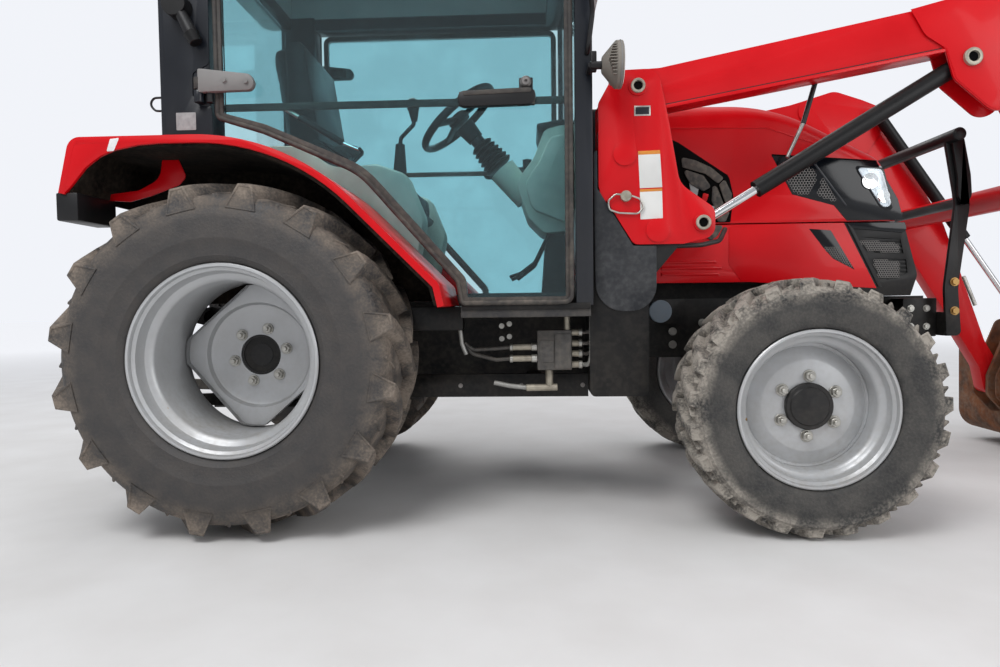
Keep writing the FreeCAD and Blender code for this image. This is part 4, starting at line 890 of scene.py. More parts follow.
@dataclass
class Tyre:
    """A tyre of the front or rear axle, with its lugs.

    Lengths are in millimetres, along the axle from the tyre's middle and out from the axle.
    """

    end: str
    side: Side
    radius: float
    middle: float
    axle_x: float
    look: Look
    lugs: int
    lug: tuple
    wall: tuple
    end_low: tuple[float, float, float]
    easing: float
    first: float

    @property
    def name(self) -> str:
        """The node's name."""
        return self.end + "_tyre_" + self.side.word

    @property
    def centre(self) -> Point:
        """The tyre's middle, in metres."""
        return (self.axle_x, self.side.value * self.middle / 1000.0, self.radius / 1000.0)

    def spot(self, out: float, radius: float, shift: float, lead: float, hand: int) -> Point:
        """A point of a lug.

        Args:
            out: Distance from the tyre's middle.
            radius: Distance from the axle.
            shift: Distance round the tyre from the lug's middle.
            lead: Angle by which the section leads.
            hand: 1 on the tyre's outer side, -1 on its inner side.

        Returns:
            The point in metres.
        """
        angle = math.radians(lead) + shift / radius
        x, y, z = self.centre
        return (x + radius / 1000.0 * math.sin(angle), y + self.side.value * hand * out / 1000.0,
                z + radius / 1000.0 * math.cos(angle))

    def lug_shape(self, hand: int) -> bpy.types.Object:
        """One lug with the sunk panel at its shoulder end.

        Args:
            hand: 1 on the tyre's outer side, -1 on its inner side.

        Returns:
            The lug.
        """
        out, low, half = self.end_low
        rings = [[self.spot(out, low, -half, 0.0, hand), self.spot(self.lug[0][0], self.lug[0][2],
                                                                   -self.lug[0][4], 0.0, hand),
                  self.spot(self.lug[0][0], self.lug[0][2], self.lug[0][4], 0.0, hand),
                  self.spot(out, low, half, 0.0, hand)]]
        for at, base, top, wide, narrow, lead in self.lug[1:]:
            rings.append([self.spot(at, base, -wide, lead, hand), self.spot(at, top, -narrow, lead, hand),
                          self.spot(at, top, narrow, lead, hand), self.spot(at, base, wide, lead, hand)])
        points = [point for ring in rings for point in ring]
        faces = [(0, 1, 2, 3), tuple(range(len(points) - 1, len(points) - 5, -1))]
        for ring in range(len(rings) - 1):
            for corner in range(4):
                here_at = ring * 4 + corner
                next_at = ring * 4 + (corner + 1) % 4
                faces.append((here_at, here_at + 4, next_at + 4, next_at))
        piece = new_piece("lug", points, faces, self.look)
        shape = bmesh.new()
        shape.from_mesh(piece.data)
        bmesh.ops.recalc_face_normals(shape, faces=shape.faces)
        shape.faces.ensure_lookup_table()
        panel = shape.faces[0]
        bmesh.ops.inset_individual(shape, faces=[panel], thickness=0.009, depth=0.0)
        bmesh.ops.inset_individual(shape, faces=[panel], thickness=0.002, depth=-0.004)
        shape.to_mesh(piece.data)
        shape.free()
        return eased(piece, self.easing, 2, 25.0)

    def stub(self, hand: int) -> bpy.types.Object:
        """The low bar between two lugs.

        Args:
            hand: 1 on the tyre's outer side, -1 on its inner side.

        Returns:
            The bar.
        """
        gap = 180.0 / self.lugs
        outer, inner = self.lug[0], self.lug[2]
        points = []
        for at, low, high, lead in ((outer[0] - 8.0, outer[1] + 4.0, outer[1] + 32.0, gap + 0.4),
                                    (inner[0] + 22.0, inner[1] - 8.0, inner[1] + 13.0, gap + 4.5)):
            points += [self.spot(at, low, -9.0, lead, hand), self.spot(at, high, -4.0, lead, hand),
                       self.spot(at, high, 4.0, lead, hand), self.spot(at, low, 9.0, lead, hand)]
        faces = [(0, 1, 2, 3), (7, 6, 5, 4), (0, 4, 5, 1), (1, 5, 6, 2), (2, 6, 7, 3), (3, 7, 4, 0)]
        piece = new_piece("stub", points, faces, self.look)
        tidy_normals(piece)
        return eased(piece, 0.002, 1)

    def build(self) -> bpy.types.Object:
        """Makes the tyre.

        Returns:
            The piece.
        """
        mirrored = [(-out, radius) for out, radius in reversed(self.wall)]
        profile = list(self.wall) + mirrored
        body = turned(self.name + "_skin", profile, self.centre, self.look, 144, self.side.value)
        parts = [body]
        pitch = math.tau / self.lugs
        for hand in (1, -1):
            first = math.radians(self.first) + (0.0 if hand > 0 else pitch / 2.0)
            for shape in (self.lug_shape(hand), self.stub(hand)):
                parts.append(RING.grow(shape, "lugs", self.look, Count=self.lugs, Centre=self.centre, First=first))
        piece = joined(self.name + "_skin", parts)
        return settle(piece, frame["nodes"][self.name]["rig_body"], self.name)


REAR_WALL = ((184.0, 330.0), (190.0, 326.0), (199.0, 331.0), (208.0, 342.0), (213.0, 349.0), (213.0, 354.0),
             (217.0, 372.0), (220.0, 400.0), (222.5, 404.0), (222.5, 409.0), (222.0, 440.0), (222.0, 470.0),
             (219.0, 497.0), (216.0, 502.0), (216.0, 508.0), (208.0, 530.0), (192.0, 547.0), (160.0, 556.0),
             (80.0, 561.0), (20.0, 563.0))
FRONT_WALL = ((112.0, 267.0), (118.0, 264.0), (127.0, 268.0), (133.0, 276.0), (134.0, 282.0), (139.0, 300.0),
              (143.0, 325.0), (144.5, 350.0), (143.0, 368.0), (145.0, 373.0), (145.0, 378.0), (141.0, 382.0),
              (136.0, 388.0), (122.0, 396.0), (95.0, 401.0), (20.0, 404.0))
REAR_RIM = ((200.0, 325.0), (203.5, 321.0), (203.0, 314.0), (197.0, 311.0), (188.0, 311.0), (184.0, 306.0),
            (181.0, 301.0), (150.0, 297.0), (140.0, 293.0), (134.0, 283.0), (128.0, 273.0), (118.0, 268.0),
            (-118.0, 268.0), (-128.0, 273.0), (-134.0, 283.0), (-140.0, 293.0), (-150.0, 297.0), (-181.0, 301.0),
            (-184.0, 306.0), (-188.0, 311.0), (-197.0, 311.0), (-203.0, 314.0), (-203.5, 321.0), (-200.0, 325.0),
            (-194.0, 325.0), (-188.0, 316.0), (-178.0, 308.0), (-150.0, 304.0), (-135.0, 300.0), (-122.0, 276.0),
            (122.0, 276.0), (135.0, 300.0), (150.0, 304.0), (178.0, 308.0), (188.0, 316.0), (194.0, 325.0))
FRONT_RIM = ((125.0, 262.0), (128.0, 258.0), (127.5, 252.0), (122.0, 249.5), (114.0, 249.0), (110.0, 244.0),
             (106.0, 240.0), (84.0, 237.0), (77.0, 233.0), (72.0, 224.0), (66.0, 216.0), (58.0, 213.0),
             (-58.0, 213.0), (-66.0, 216.0), (-72.0, 224.0), (-77.0, 233.0), (-84.0, 237.0), (-106.0, 240.0),
             (-110.0, 244.0), (-114.0, 249.0), (-122.0, 249.5), (-127.5, 252.0), (-128.0, 258.0),
             (-125.0, 262.0), (-119.0, 262.0), (-112.0, 254.0), (-104.0, 247.0), (-84.0, 244.0), (-70.0, 240.0),
             (-60.0, 221.0), (60.0, 221.0), (70.0, 240.0), (84.0, 244.0), (104.0, 247.0), (112.0, 254.0),
             (119.0, 262.0))


@dataclass
class Rim:
    """A wheel's rim with its disc, nuts, hub and valve.

    Lengths are in millimetres, along the axle from the rim's middle and out from the axle.
    """

    end: str
    side: Side
    height: float
    middle: float
    axle_x: float
    profile: tuple
    face: float
    edge: float
    flat: float
    dish: tuple
    nut_circle: float = 101.6
    nut_first: float = 0.14
    hole: float = 76.0
    cap: bool = False
    valve_angle: float = -2.2
    steps: int = 120

    @property
    def name(self) -> str:
        """The node's name."""
        return self.end + "_rim_" + self.side.word

    @property
    def centre(self) -> Point:
        """The rim's middle, in metres."""
        return (self.axle_x, self.side.value * self.middle / 1000.0, self.height / 1000.0)

    def disc(self) -> bpy.types.Object:
        """The dished disc, cut straight between the places where it meets the rim.

        Returns:
            The disc.
        """
        points = []
        faces = []
        x, y, z = self.centre
        rings = [(along, radius) for along, radius in self.dish]
        for step in range(self.steps):
            angle = math.tau * step / self.steps
            quarter = (angle - math.radians(4.0)) % (math.pi / 2.0) - math.pi / 4.0
            reach = min(self.edge, self.flat / math.cos(quarter))
            for along, radius in rings:
                out = min(radius, reach) if radius > self.dish[3][1] else radius
                points.append((x + out / 1000.0 * math.sin(angle), y + self.side.value * along / 1000.0,
                               z + out / 1000.0 * math.cos(angle)))
        count = len(rings)
        for step in range(self.steps):
            first = step * count
            second = (step + 1) % self.steps * count
            for at in range(count):
                ahead = (at + 1) % count
                faces.append((first + at, second + at, second + ahead, first + ahead))
        piece = new_piece(self.name + "_disc", points, faces, Look.SILVER)
        tidy_normals(piece)
        return smooth(piece, 30.0)

    def build(self) -> bpy.types.Object:
        """Makes the rim and what is on it.

        Returns:
            The piece.
        """
        out = self.side.value
        x, y, z = self.centre
        rim = turned(self.name + "_skin", self.profile, self.centre, Look.SILVER, 144, out)
        nut = Nut().build("nut", (x, y + out * (self.face + 0.5) / 1000.0, z + self.nut_circle / 1000.0), out,
                          Look.ZINC)
        nuts = RING.grow(nut, "nuts", Look.ZINC, Count=6, Centre=self.centre, First=self.nut_first)
        face = self.face
        if self.cap:
            outline = ((face + 1, 79.0), (face + 14, 79.0), (face + 17, 76.0), (face + 17, 66.0), (face + 21, 62.0),
                       (face + 22, 20.0), (face + 24, 6.0), (face + 24, 0.0), (face + 1, 0.0))
        else:
            outline = ((face - 10, 74.5), (face - 6, 74.5), (face - 8, 68.0), (face - 22, 66.0), (face - 24, 44.0),
                       (face - 10, 42.0), (face - 9, 0.0), (face - 46, 0.0), (face - 46, 74.5))
        hub = turned("hub", outline, self.centre, Look.TRIM, 48, out)
        back = turned("hub_back", ((face - 12, 118.0), (face - 40, 120.0), (face - 54, 105.0), (face - 54, 40.0),
                                   (face - 12, 40.0)), self.centre, Look.BLACK, 40, out)
        valve = turned("valve", ((0.0, 0.0), (0.0, 5.0), (20.0, 4.0), (26.0, 3.5), (27.0, 5.0), (36.0, 5.0),
                                 (37.0, 0.0)), (0.0, 0.0, 0.0), Look.BRASS, 14)
        lean = Matrix.Rotation(math.radians(-out * 62.0), 4, "X")
        root = Matrix.Translation((0.0, out * (self.valve_out / 1000.0), self.valve_radius / 1000.0))
        spin = Matrix.Rotation(self.valve_angle, 4, "Y")
        valve.data.transform(Matrix.Translation(self.centre) @ spin @ root @ lean)
        piece = joined(self.name + "_skin", [rim, self.disc(), nuts, hub, back, valve])
        return settle(piece, frame["nodes"][self.name]["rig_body"], self.name)

    @property
    def valve_out(self) -> float:
        """Where the valve leaves the rim, along the axle."""
        return 126.0 if self.end == "rear" else 68.0

    @property
    def valve_radius(self) -> float:
        """Where the valve leaves the rim, out from the axle."""
        return self.profile[10][1]


def build_wheels() -> None:
    """Makes the four wheels."""
    rear_dish = ((-128.0, 76.0), (-128.0, 172.0), (-122.0, 188.0), (-106.0, 197.0), (-104.0, 215.0),
                 (-104.0, 266.0), (-95.0, 267.5), (-78.0, 267.5), (-78.0, 264.0), (-111.0, 262.0),
                 (-112.0, 206.0), (-131.0, 192.0), (-136.0, 174.0), (-136.0, 76.0))
    front_dish = ((33.0, 76.0), (33.0, 150.0), (30.0, 158.0), (10.0, 196.0), (9.0, 199.0), (6.5, 200.0),
                  (6.5, 203.0), (9.5, 204.0), (9.5, 212.0), (1.0, 212.5), (0.0, 198.0), (21.0, 156.0),
                  (24.0, 148.0), (24.0, 76.0))
    for side in Side:
        Tyre("rear", side, 606.0, 640.0, REAR_AXLE_X, Look.REAR_RUBBER, 16, REAR_LUG, REAR_WALL,
             (220.0, 503.0, 52.0), 0.004, 9.6).build()
        Tyre("front", side, 431.0, 675.0, FRONT_AXLE_X, Look.FRONT_RUBBER, 23, FRONT_LUG, FRONT_WALL,
             (138.0, 386.0, 27.0), 0.006, 9.1).build()
        Rim("rear", side, 606.0, 640.0, REAR_AXLE_X, REAR_RIM, -128.0, 262.0, 214.0, rear_dish,
            nut_first=0.297).build()
        Rim("front", side, 431.0, 675.0, FRONT_AXLE_X, FRONT_RIM, 33.0, 400.0, 400.0, front_dish,
            nut_first=0.04, cap=True, valve_angle=-1.75).build()


@dataclass
class Studio:
    """Camera, lights, floor and backdrop."""

    eye: Point = (-0.6075, -2.9823, 0.781)
    yaw: float = -0.0445382
    pitch: float = 0.0421750
    roll: float = -0.0119038
    lens: float = 24.0
    floor_half: float = 40.0

    def camera(self) -> None:
        """Sets the camera where the photograph was taken from."""
        forward = Vector((math.sin(self.yaw) * math.cos(self.pitch), math.cos(self.yaw) * math.cos(self.pitch),
                          -math.sin(self.pitch)))
        level = Vector((math.cos(self.yaw), -math.sin(self.yaw), 0.0))
        above = level.cross(forward)
        right = math.cos(self.roll) * level + math.sin(self.roll) * above
        up = math.cos(self.roll) * above - math.sin(self.roll) * level
        data = bpy.data.cameras.new("camera")
        data.lens = self.lens
        data.sensor_width = 36.0
        data.clip_end = 200.0
        made = bpy.data.objects.new("camera", data)
        turn = Matrix((right, up, -forward)).transposed().to_4x4()
        made.matrix_world = Matrix.Translation(self.eye) @ turn
        bpy.context.scene.collection.objects.link(made)
        bpy.context.scene.camera = made

    def light(self) -> None:
        """Sets soft studio lamps and a pale world."""
        for name, place, size, power, target in (
                ("key", (-2.6, -4.2, 5.8), 3.0, 250.0, (0.0, 0.0, 0.8)),
                ("fill", (4.2, -4.2, 2.6), 3.2, 95.0, (0.4, 0.0, 0.8)),
                ("top", (0.4, 0.3, 6.6), 4.5, 80.0, (0.0, 0.0, 0.5)),
                ("back", (-1.0, 4.6, 5.6), 3.2, 130.0, (0.0, 0.0, 1.0)),
                ("cab", (-1.15, -0.1, 2.17), 0.8, 9.0, (-1.0, 0.0, 0.9))):
            data = bpy.data.lights.new(name, "AREA")
            data.size = size
            data.energy = power
            lamp = bpy.data.objects.new(name, data)
            lamp.visible_camera = False
            lamp.visible_transmission = name != "cab"
            lamp.visible_glossy = name != "cab"
            lamp.location = place
            lamp.rotation_euler = (Vector(target) - Vector(place)).to_track_quat("-Z", "Y").to_euler()
            bpy.context.scene.collection.objects.link(lamp)
        world = bpy.data.worlds.new("studio")
        bpy.context.scene.world = world
        world.use_nodes = True
        tree = world.node_tree
        back = next(n for n in tree.nodes if n.type == "BACKGROUND")
        back.inputs["Color"].default_value = (0.93, 0.95, 1.0, 1.0)
        path = tree.nodes.new("ShaderNodeLightPath")
        seen = tree.nodes.new("ShaderNodeMath")
        seen.operation = "MAXIMUM"
        tree.links.new(path.outputs["Is Camera Ray"], seen.inputs[0])
        tree.links.new(path.outputs["Is Transmission Ray"], seen.inputs[1])
        level = tree.nodes.new("ShaderNodeMapRange")
        level.inputs["To Min"].default_value = 0.48
        level.inputs["To Max"].default_value = 0.95
        tree.links.new(seen.outputs[0], level.inputs["Value"])
        tree.links.new(level.outputs["Result"], back.inputs["Strength"])

    def floor(self) -> None:
        """Lays a pale floor."""
        half = self.floor_half
        mesh = bpy.data.meshes.new("floor")
        mesh.from_pydata([(-half, -half, 0.0), (half, -half, 0.0), (half, half, 0.0), (-half, half, 0.0)], [],
                         [(0, 1, 2, 3)])
        made = bpy.data.objects.new("floor", mesh)
        shader = Shader("floor")
        speck = shader.span(shader.noise(3.0, 6.0), 0.3, 0.7)
        across, along = (shader.maths("POWER", shader.axis(letter), 2.0) for letter in "XY")
        far = shader.span(shader.maths("SQRT", shader.maths("ADD", across, along)), 3.0, 14.0)
        shader.set(Base_Color=shader.mix(speck, (0.70, 0.69, 0.68), (0.76, 0.755, 0.75)), Roughness=0.8)
        shader.set(Emission_Color=(0.93, 0.95, 1.0), Emission_Strength=shader.maths("MULTIPLY", far, 0.58))
        mesh.materials.append(shader.material)
        bpy.context.scene.collection.objects.link(made)

    def build(self) -> None:
        """Makes the whole studio."""
        self.camera()
        self.light()
        self.floor()
        bpy.context.scene.view_settings.view_transform = "Standard"


BOTH = (Side.RIGHT, Side.LEFT)
ONE = (Side.LEFT,)


def rounded(outline: Sequence[Sequence[float]], steps: int = 6) -> list[Flat]:
    """An outline with its corners rounded.

    Args:
        outline: Corners as x, z and, where it is rounded, the radius.
        steps: Faces round a corner.

    Returns:
        The points.
    """
    points = []
    count = len(outline)
    for index, (x, z, *radius) in enumerate(outline):
        if not radius:
            points.append((x, z))
            continue
        corner = Vector((x, z))
        back = (Vector(outline[index - 1][:2]) - corner).normalized()
        ahead = (Vector(outline[(index + 1) % count][:2]) - corner).normalized()
        half = back.angle(ahead) / 2.0
        reach = radius[0] / math.tan(half)
        middle = corner + (back + ahead).normalized() * (radius[0] / math.sin(half))
        first = corner + back * reach - middle
        last = corner + ahead * reach - middle
        points += [tuple(middle + first.slerp(last, step / steps) * radius[0]) for step in range(steps + 1)]
    return points


def inside(x: float, z: float, outline: Sequence[Flat]) -> bool:
    """Tells whether a point lies in an outline.

    Args:
        x: The point's x.
        z: The point's z.
        outline: Corners.

    Returns:
        Whether it lies inside.
    """
    found = False
    for index, (x2, z2) in enumerate(outline):
        x1, z1 = outline[index - 1]
        if (z1 > z) != (z2 > z) and x < x1 + (x2 - x1) * (z - z1) / (z2 - z1):
            found = not found
    return found


def slab(outline: Sequence[Sequence[float]], start: float, thick: float, look: Look, side: Side = Side.LEFT,
         ease: float = 1.5) -> bpy.types.Object:
    """A plate that stands along the tractor, in millimetres from the rear axle.

    Args:
        outline: Corners as x, z and, where it is rounded, the radius.
        start: Distance of its inner face from the middle plane.
        thick: Thickness outwards.
        look: Finish.
        side: Side of the tractor.
        ease: Rounding of its edges.

    Returns:
        The piece.
    """
    ring = rounded(outline)
    count = len(ring)
    points = [here(x, side.value * y, z) for y in (start, start + thick) for x, z in ring]
    faces = [tuple(range(count)), tuple(range(2 * count - 1, count - 1, -1))]
    faces += [(at, (at + 1) % count, count + (at + 1) % count, count + at) for at in range(count)]
    piece = tidy_normals(new_piece("slab", points, faces, look))
    return eased(piece, ease / 1000.0) if ease else smooth(piece)


def bar(start: Point, end: Point, radius: float, look: Look, tip: float | None = None,
        segments: int = 28) -> bpy.types.Object:
    """A round bar between two points, in millimetres from the rear axle.

    Args:
        start: Middle of its first end.
        end: Middle of its last end.
        radius: Radius at the first end.
        look: Finish.
        tip: Radius at the last end, if it is another.
        segments: Faces round it.

    Returns:
        The piece.
    """
    low, high = Vector(here(*start)), Vector(here(*end))
    turn = (high - low).to_track_quat("Z", "Y").to_matrix().to_4x4()
    shape = bmesh.new()
    bmesh.ops.create_cone(shape, cap_ends=True, segments=segments, radius1=radius / 1000.0,
                          radius2=(radius if tip is None else tip) / 1000.0, depth=(high - low).length,
                          matrix=Matrix.Translation((low + high) / 2.0) @ turn)
    piece = new_piece("bar", (), (), look)
    shape.to_mesh(piece.data)
    shape.free()
    return eased(piece, min(1.5, radius / 6.0) / 1000.0, 1)


def studs(spots: Sequence[Point], outward: Point, look: Look, across: float = 17.0) -> bpy.types.Object:
    """Hexagon bolt heads with washers, in millimetres from the rear axle.

    Args:
        spots: Middles of their seats.
        outward: Direction in which they point.
        look: Finish.
        across: Width across flats.

    Returns:
        The piece.
    """
    shape = bmesh.new()
    corner = across / math.sqrt(3.0) / 1000.0
    for radius, low, high, sides in ((corner * 1.3, 0.0, 0.0022, 18), (corner, 0.0022, 0.55 * corner + 0.004, 6)):
        bmesh.ops.create_cone(shape, cap_ends=True, segments=sides, radius1=radius, radius2=radius,
                              depth=high - low, matrix=Matrix.Translation((0.0, 0.0, (low + high) / 2.0)))
    head = new_piece("head", (), (), look)
    shape.to_mesh(head.data)
    shape.free()
    seats = new_piece("seats", [here(*spot) for spot in spots], (), look)
    turn = Vector(outward).to_track_quat("Z", "Y").to_euler()
    made = SPOTS.grow(seats, "studs", look, Item=head, Turn=tuple(turn))
    bpy.data.objects.remove(head)
    return made


class Kit:
    """Shapes of one sub-assembly, which become one piece on one body."""

    def __init__(self, name: str, body: Body, sides: Sequence[Side] = BOTH) -> None:
        """Starts an empty kit.

        Args:
            name: Name of the piece.
            body: Body that it rides on.
            sides: Sides on which its shapes are made.
        """
        self.name = name
        self.body = body
        self.sides = sides
        self.parts: list[bpy.types.Object] = []

    def slab(self, look: Look, outline: Sequence, start: float, thick: float, ease: float = 1.5) -> None:
        """Adds a plate that stands along the tractor; the arguments are those of the function slab."""
        self.parts += [slab(outline, start, thick, look, side, ease) for side in self.sides]

    def block(self, look: Look, low: Point, size: Point, ease: float = 1.5) -> None:
        """Adds a block.

        Args:
            look: Finish.
            low: Its corner with the least x and z, nearest the middle plane.
            size: Its length, width and height.
            ease: Rounding of its edges.
        """
        x, y, z = low
        length, width, height = size
        outline = ((x, z), (x + length, z), (x + length, z + height), (x, z + height))
        self.slab(look, outline, y, width, ease)

    def bar(self, look: Look, start: Point, end: Point, radius: float, tip: float | None = None) -> None:
        """Adds a round bar; the arguments are those of the function bar."""
        for side in self.sides:
            ends = [(x, side.value * y, z) for x, y, z in (start, end)]
            self.parts.append(bar(*ends, radius, look, tip))

    def pipe(self, look: Look, points: Sequence[Point], radius: float, bend: float = 30.0) -> None:
        """Adds a bent round bar.

        Args:
            look: Finish.
            points: Corners of its line.
            radius: Its radius.
            bend: Radius of its bends.
        """
        for side in self.sides:
            line = [(x, side.value * y, z) for x, y, z in points]
            self.parts.append(pipe("pipe", line, radius / 1000.0, look, bend / 1000.0))

    def studs(self, look: Look, spots: Sequence[Point], outward: Point, across: float = 17.0) -> None:
        """Adds bolt heads; the arguments are those of the function studs."""
        for side in self.sides:
            seats = [(x, side.value * y, z) for x, y, z in spots]
            way = (outward[0], side.value * outward[1], outward[2])
            self.parts.append(studs(seats, way, look, across))

    def mesh(self, look: Look, outline: Sequence[Flat], face: float, pitch: float = 11.0) -> None:
        """Adds a mesh of six-sided cells on a side face.

        Args:
            look: Finish.
            outline: Corners of the mesh.
            face: Distance of the face from the middle plane.
            pitch: Distance from cell to cell.
        """
        rise = pitch * math.sqrt(0.75)
        low_x, low_z = (min(point[at] for point in outline) for at in (0, 1))
        high_x, high_z = (max(point[at] for point in outline) for at in (0, 1))
        spots = []
        for row in range(1, int((high_z - low_z) / rise)):
            for column in range(int((high_x - low_x) / pitch)):
                x, z = low_x + (column + 0.5 * (row % 2) + 0.5) * pitch, low_z + row * rise
                if inside(x, z, outline):
                    spots.append((x, z))
        wide = pitch / math.sqrt(3.0)
        for side in self.sides:
            cell = turned("cell", ((0.0, wide * 1.02), (1.2, wide * 1.02), (1.2, wide * 0.78), (0.0, wide * 0.78)),
                          (0.0, 0.0, 0.0), look, 6, side.value)
            seats = new_piece("cells", [here(x, side.value * face, z) for x, z in spots], (), look)
            self.parts.append(SPOTS.grow(seats, "mesh", look, Item=cell, Turn=(0.0, 0.0, 0.0)))
            bpy.data.objects.remove(cell)

    def turned(self, look: Look, profile: Sequence[Flat], x: float, y: float, z: float,
               segments: int = 48) -> None:
        """Adds a shape turned about the Y direction.

        Args:
            look: Finish.
            profile: Distance outwards from y and radius of each corner.
            x: Place of its axis.
            y: Distance from the middle plane at which the profile starts.
            z: Place of its axis.
            segments: Faces round it.
        """
        for side in self.sides:
            self.parts.append(turned("turned", profile, here(x, side.value * y, z), look, segments, side.value))

    def done(self, *nodes: str) -> bpy.types.Object:
        """Makes one piece of the shapes.

        Args:
            nodes: CAD nodes that the piece replaces.

        Returns:
            The piece.
        """
        return settle(joined(self.name, self.parts), self.body.value, *nodes)


@dataclass
class Bonnet:
    """Mesh windows, visor, lamps and side air boot of the hood."""

    face: float = 345.0
    window: tuple = ((1952, 1345), (2030, 1195), (2188, 1150), (2238, 1090), (2450, 1090), (2428, 1170),
                     (2347, 1313))
    panes: tuple = (((1978, 1322), (2034, 1203), (2094, 1190), (2122, 1262), (2094, 1300)),
                    ((2124, 1188), (2206, 1162), (2146, 1262)))
    lamp: tuple = ((2261, 1300, 8), (2373, 1290, 22), (2421, 1109, 20), (2360, 1139, 26))
    lens: tuple = ((2270, 1292, 8), (2365, 1283, 20), (2410, 1119, 18), (2363, 1147, 24))
    folds: tuple = (((1606, 1346), (1663, 1331), (1720, 1304), (1770, 1262), (1748, 1240), (1699, 1279), (1610, 1306)),
                    ((1772, 1258), (1800, 1200), (1792, 1136), (1772, 1174), (1750, 1236)),
                    ((1608, 1300), (1690, 1272), (1720, 1228), (1690, 1212), (1640, 1240)),
                    ((1726, 1240), (1744, 1226), (1768, 1166), (1746, 1120), (1722, 1176)),
                    ((1790, 1128), (1776, 1094), (1732, 1094), (1752, 1116), (1772, 1160)))

    def boot(self, kit: Kit) -> None:
        """Adds the folded air boot behind the loader's tower.

        Args:
            kit: Kit that it is added to.
        """
        # The near-black backing is painted shade behind the folds.
        kit.slab(Look.SHADOW_BLACK, ((1520, 1440, 20), (1600, 1400, 40), (1690, 1338, 60), (1790, 1270, 40),
                                     (1808, 1190, 60), (1796, 1092), (1520, 1092)), self.face - 1, 3.0)
        for number, fold in enumerate(self.folds):
            kit.slab(Look.CLOTH, [(*point, 9) for point in fold], self.face + 1, 6.0 + 2.5 * (number % 3), 2.6)
        kit.slab(Look.LABEL_GREY, ((1636, 1252, 4), (1676, 1236, 4), (1664, 1176, 4), (1646, 1186, 4)), self.face + 1,
                 6.0)
        kit.slab(Look.LABEL_GREY, ((1672, 1166, 4), (1736, 1154, 4), (1722, 1112, 4), (1684, 1118, 4)), self.face + 1,
                 5.0)
        kit.slab(Look.RED, ((1690, 1206, 4), (1712, 1200, 4), (1702, 1172, 4), (1684, 1178, 4)), self.face + 1, 9.0)

    def build(self) -> None:
        """Makes what is on the hood and the lamps."""
        kit = Kit("hood_trim", Body.HOOD)
        kit.slab(Look.GLOSS, self.window, self.face - 5.5, 6.7, 1.0)
        for pane in self.panes:
            kit.mesh(Look.MESH, pane, self.face + 1.2)
        kit.slab(Look.DARK, ((2108, 1310, 2), (2119, 1310, 2), (2238, 1148, 2), (2228, 1148, 2)), self.face, 3.0)
        # A thin painted shadow line along the mesh window's lower edge.
        kit.slab(Look.SHADOW_BLACK, ((1952, 1350), (2347, 1318), (2347, 1313), (1952, 1345)), self.face - 1, 2.2, 0.4)
        self.boot(kit)
        kit.slab(Look.GLOSS, self.lamp, self.face - 1, 3.4, 1.2)
        kit.slab(Look.BOWL, self.lens, self.face + 1, 2.0, 0.6)
        for x, z, radius in ((2322, 1240, 30), (2372, 1180, 23)):
            kit.turned(Look.CHROME, ((0.0, 0.0), (0.0, radius), (3.0, radius), (3.0, radius - 2), (0.8, 6.0),
                                     (0.8, 0.0)), x, self.face + 3.0, z, 32)
        kit.slab(Look.CLEAR, self.lens, self.face + 6.4, 1.6, 0.6)
        crease = ((1545, 1462), (1935, 1455), (2110, 1392), (2110, 1387), (1930, 1449), (1545, 1456))
        kit.slab(Look.RED, crease, self.face - 2, 4.5, 1.0)
        kit.done()


@dataclass
class Nose:
    """Grille, vents and side skins ahead of the engine."""

    face: float = 345.0
    skin: tuple = ((1790, 1083), (1790, 930), (1838, 862), (2352, 830), (2226, 1083))
    vent: tuple = ((2094, 1062), (2176, 1055), (2268, 902), (2186, 946), (2148, 990))
    mesh: tuple = ((2153, 988), (2203, 1000), (2262, 908), (2188, 948))
    edge: tuple = ((2237, 1080), (2251, 1080), (2372, 834), (2358, 834))
    grilles: tuple = (((2278, 1020, 12), (2428, 1000, 16), (2440, 962, 12), (2318, 974, 20)),
                      ((2334, 944, 14), (2434, 930, 24), (2440, 866, 12), (2362, 866, 12)))

    def build(self) -> None:
        """Makes the nose's skins."""
        kit = Kit("nose_trim", Body.CHASSIS)
        kit.slab(Look.RED, self.skin, self.face - 1, 3.0)
        # The vent's glossy black backing is painted shade inside the vent; mesh covers only its lower part.
        kit.slab(Look.GLOSS, self.vent, self.face + 1, 1.8, 0.6)
        kit.mesh(Look.MESH, self.mesh, self.face + 2.8, 9.0)
        kit.slab(Look.TRIM, self.edge, self.face - 1, 4.6, 1.0)
        kit.slab(Look.GLOSS, ((2240, 1081), (2454, 1081), (2466, 1040, 16), (2258, 1060)), self.face - 1, 5.0)
        for outline in self.grilles:
            kit.slab(Look.TRIM, outline, self.face - 1, 3.2)
            kit.mesh(Look.MESH, [point[:2] for point in outline], self.face + 2.2, 9.0)
        kit.slab(Look.CLOTH, ((1694, 1081, 8), (1771, 1081, 8), (1745, 1040, 9), (1722, 1022, 8), (1690, 1048, 8)),
                 self.face - 1, 8.0, 2.6)
        kit.done()


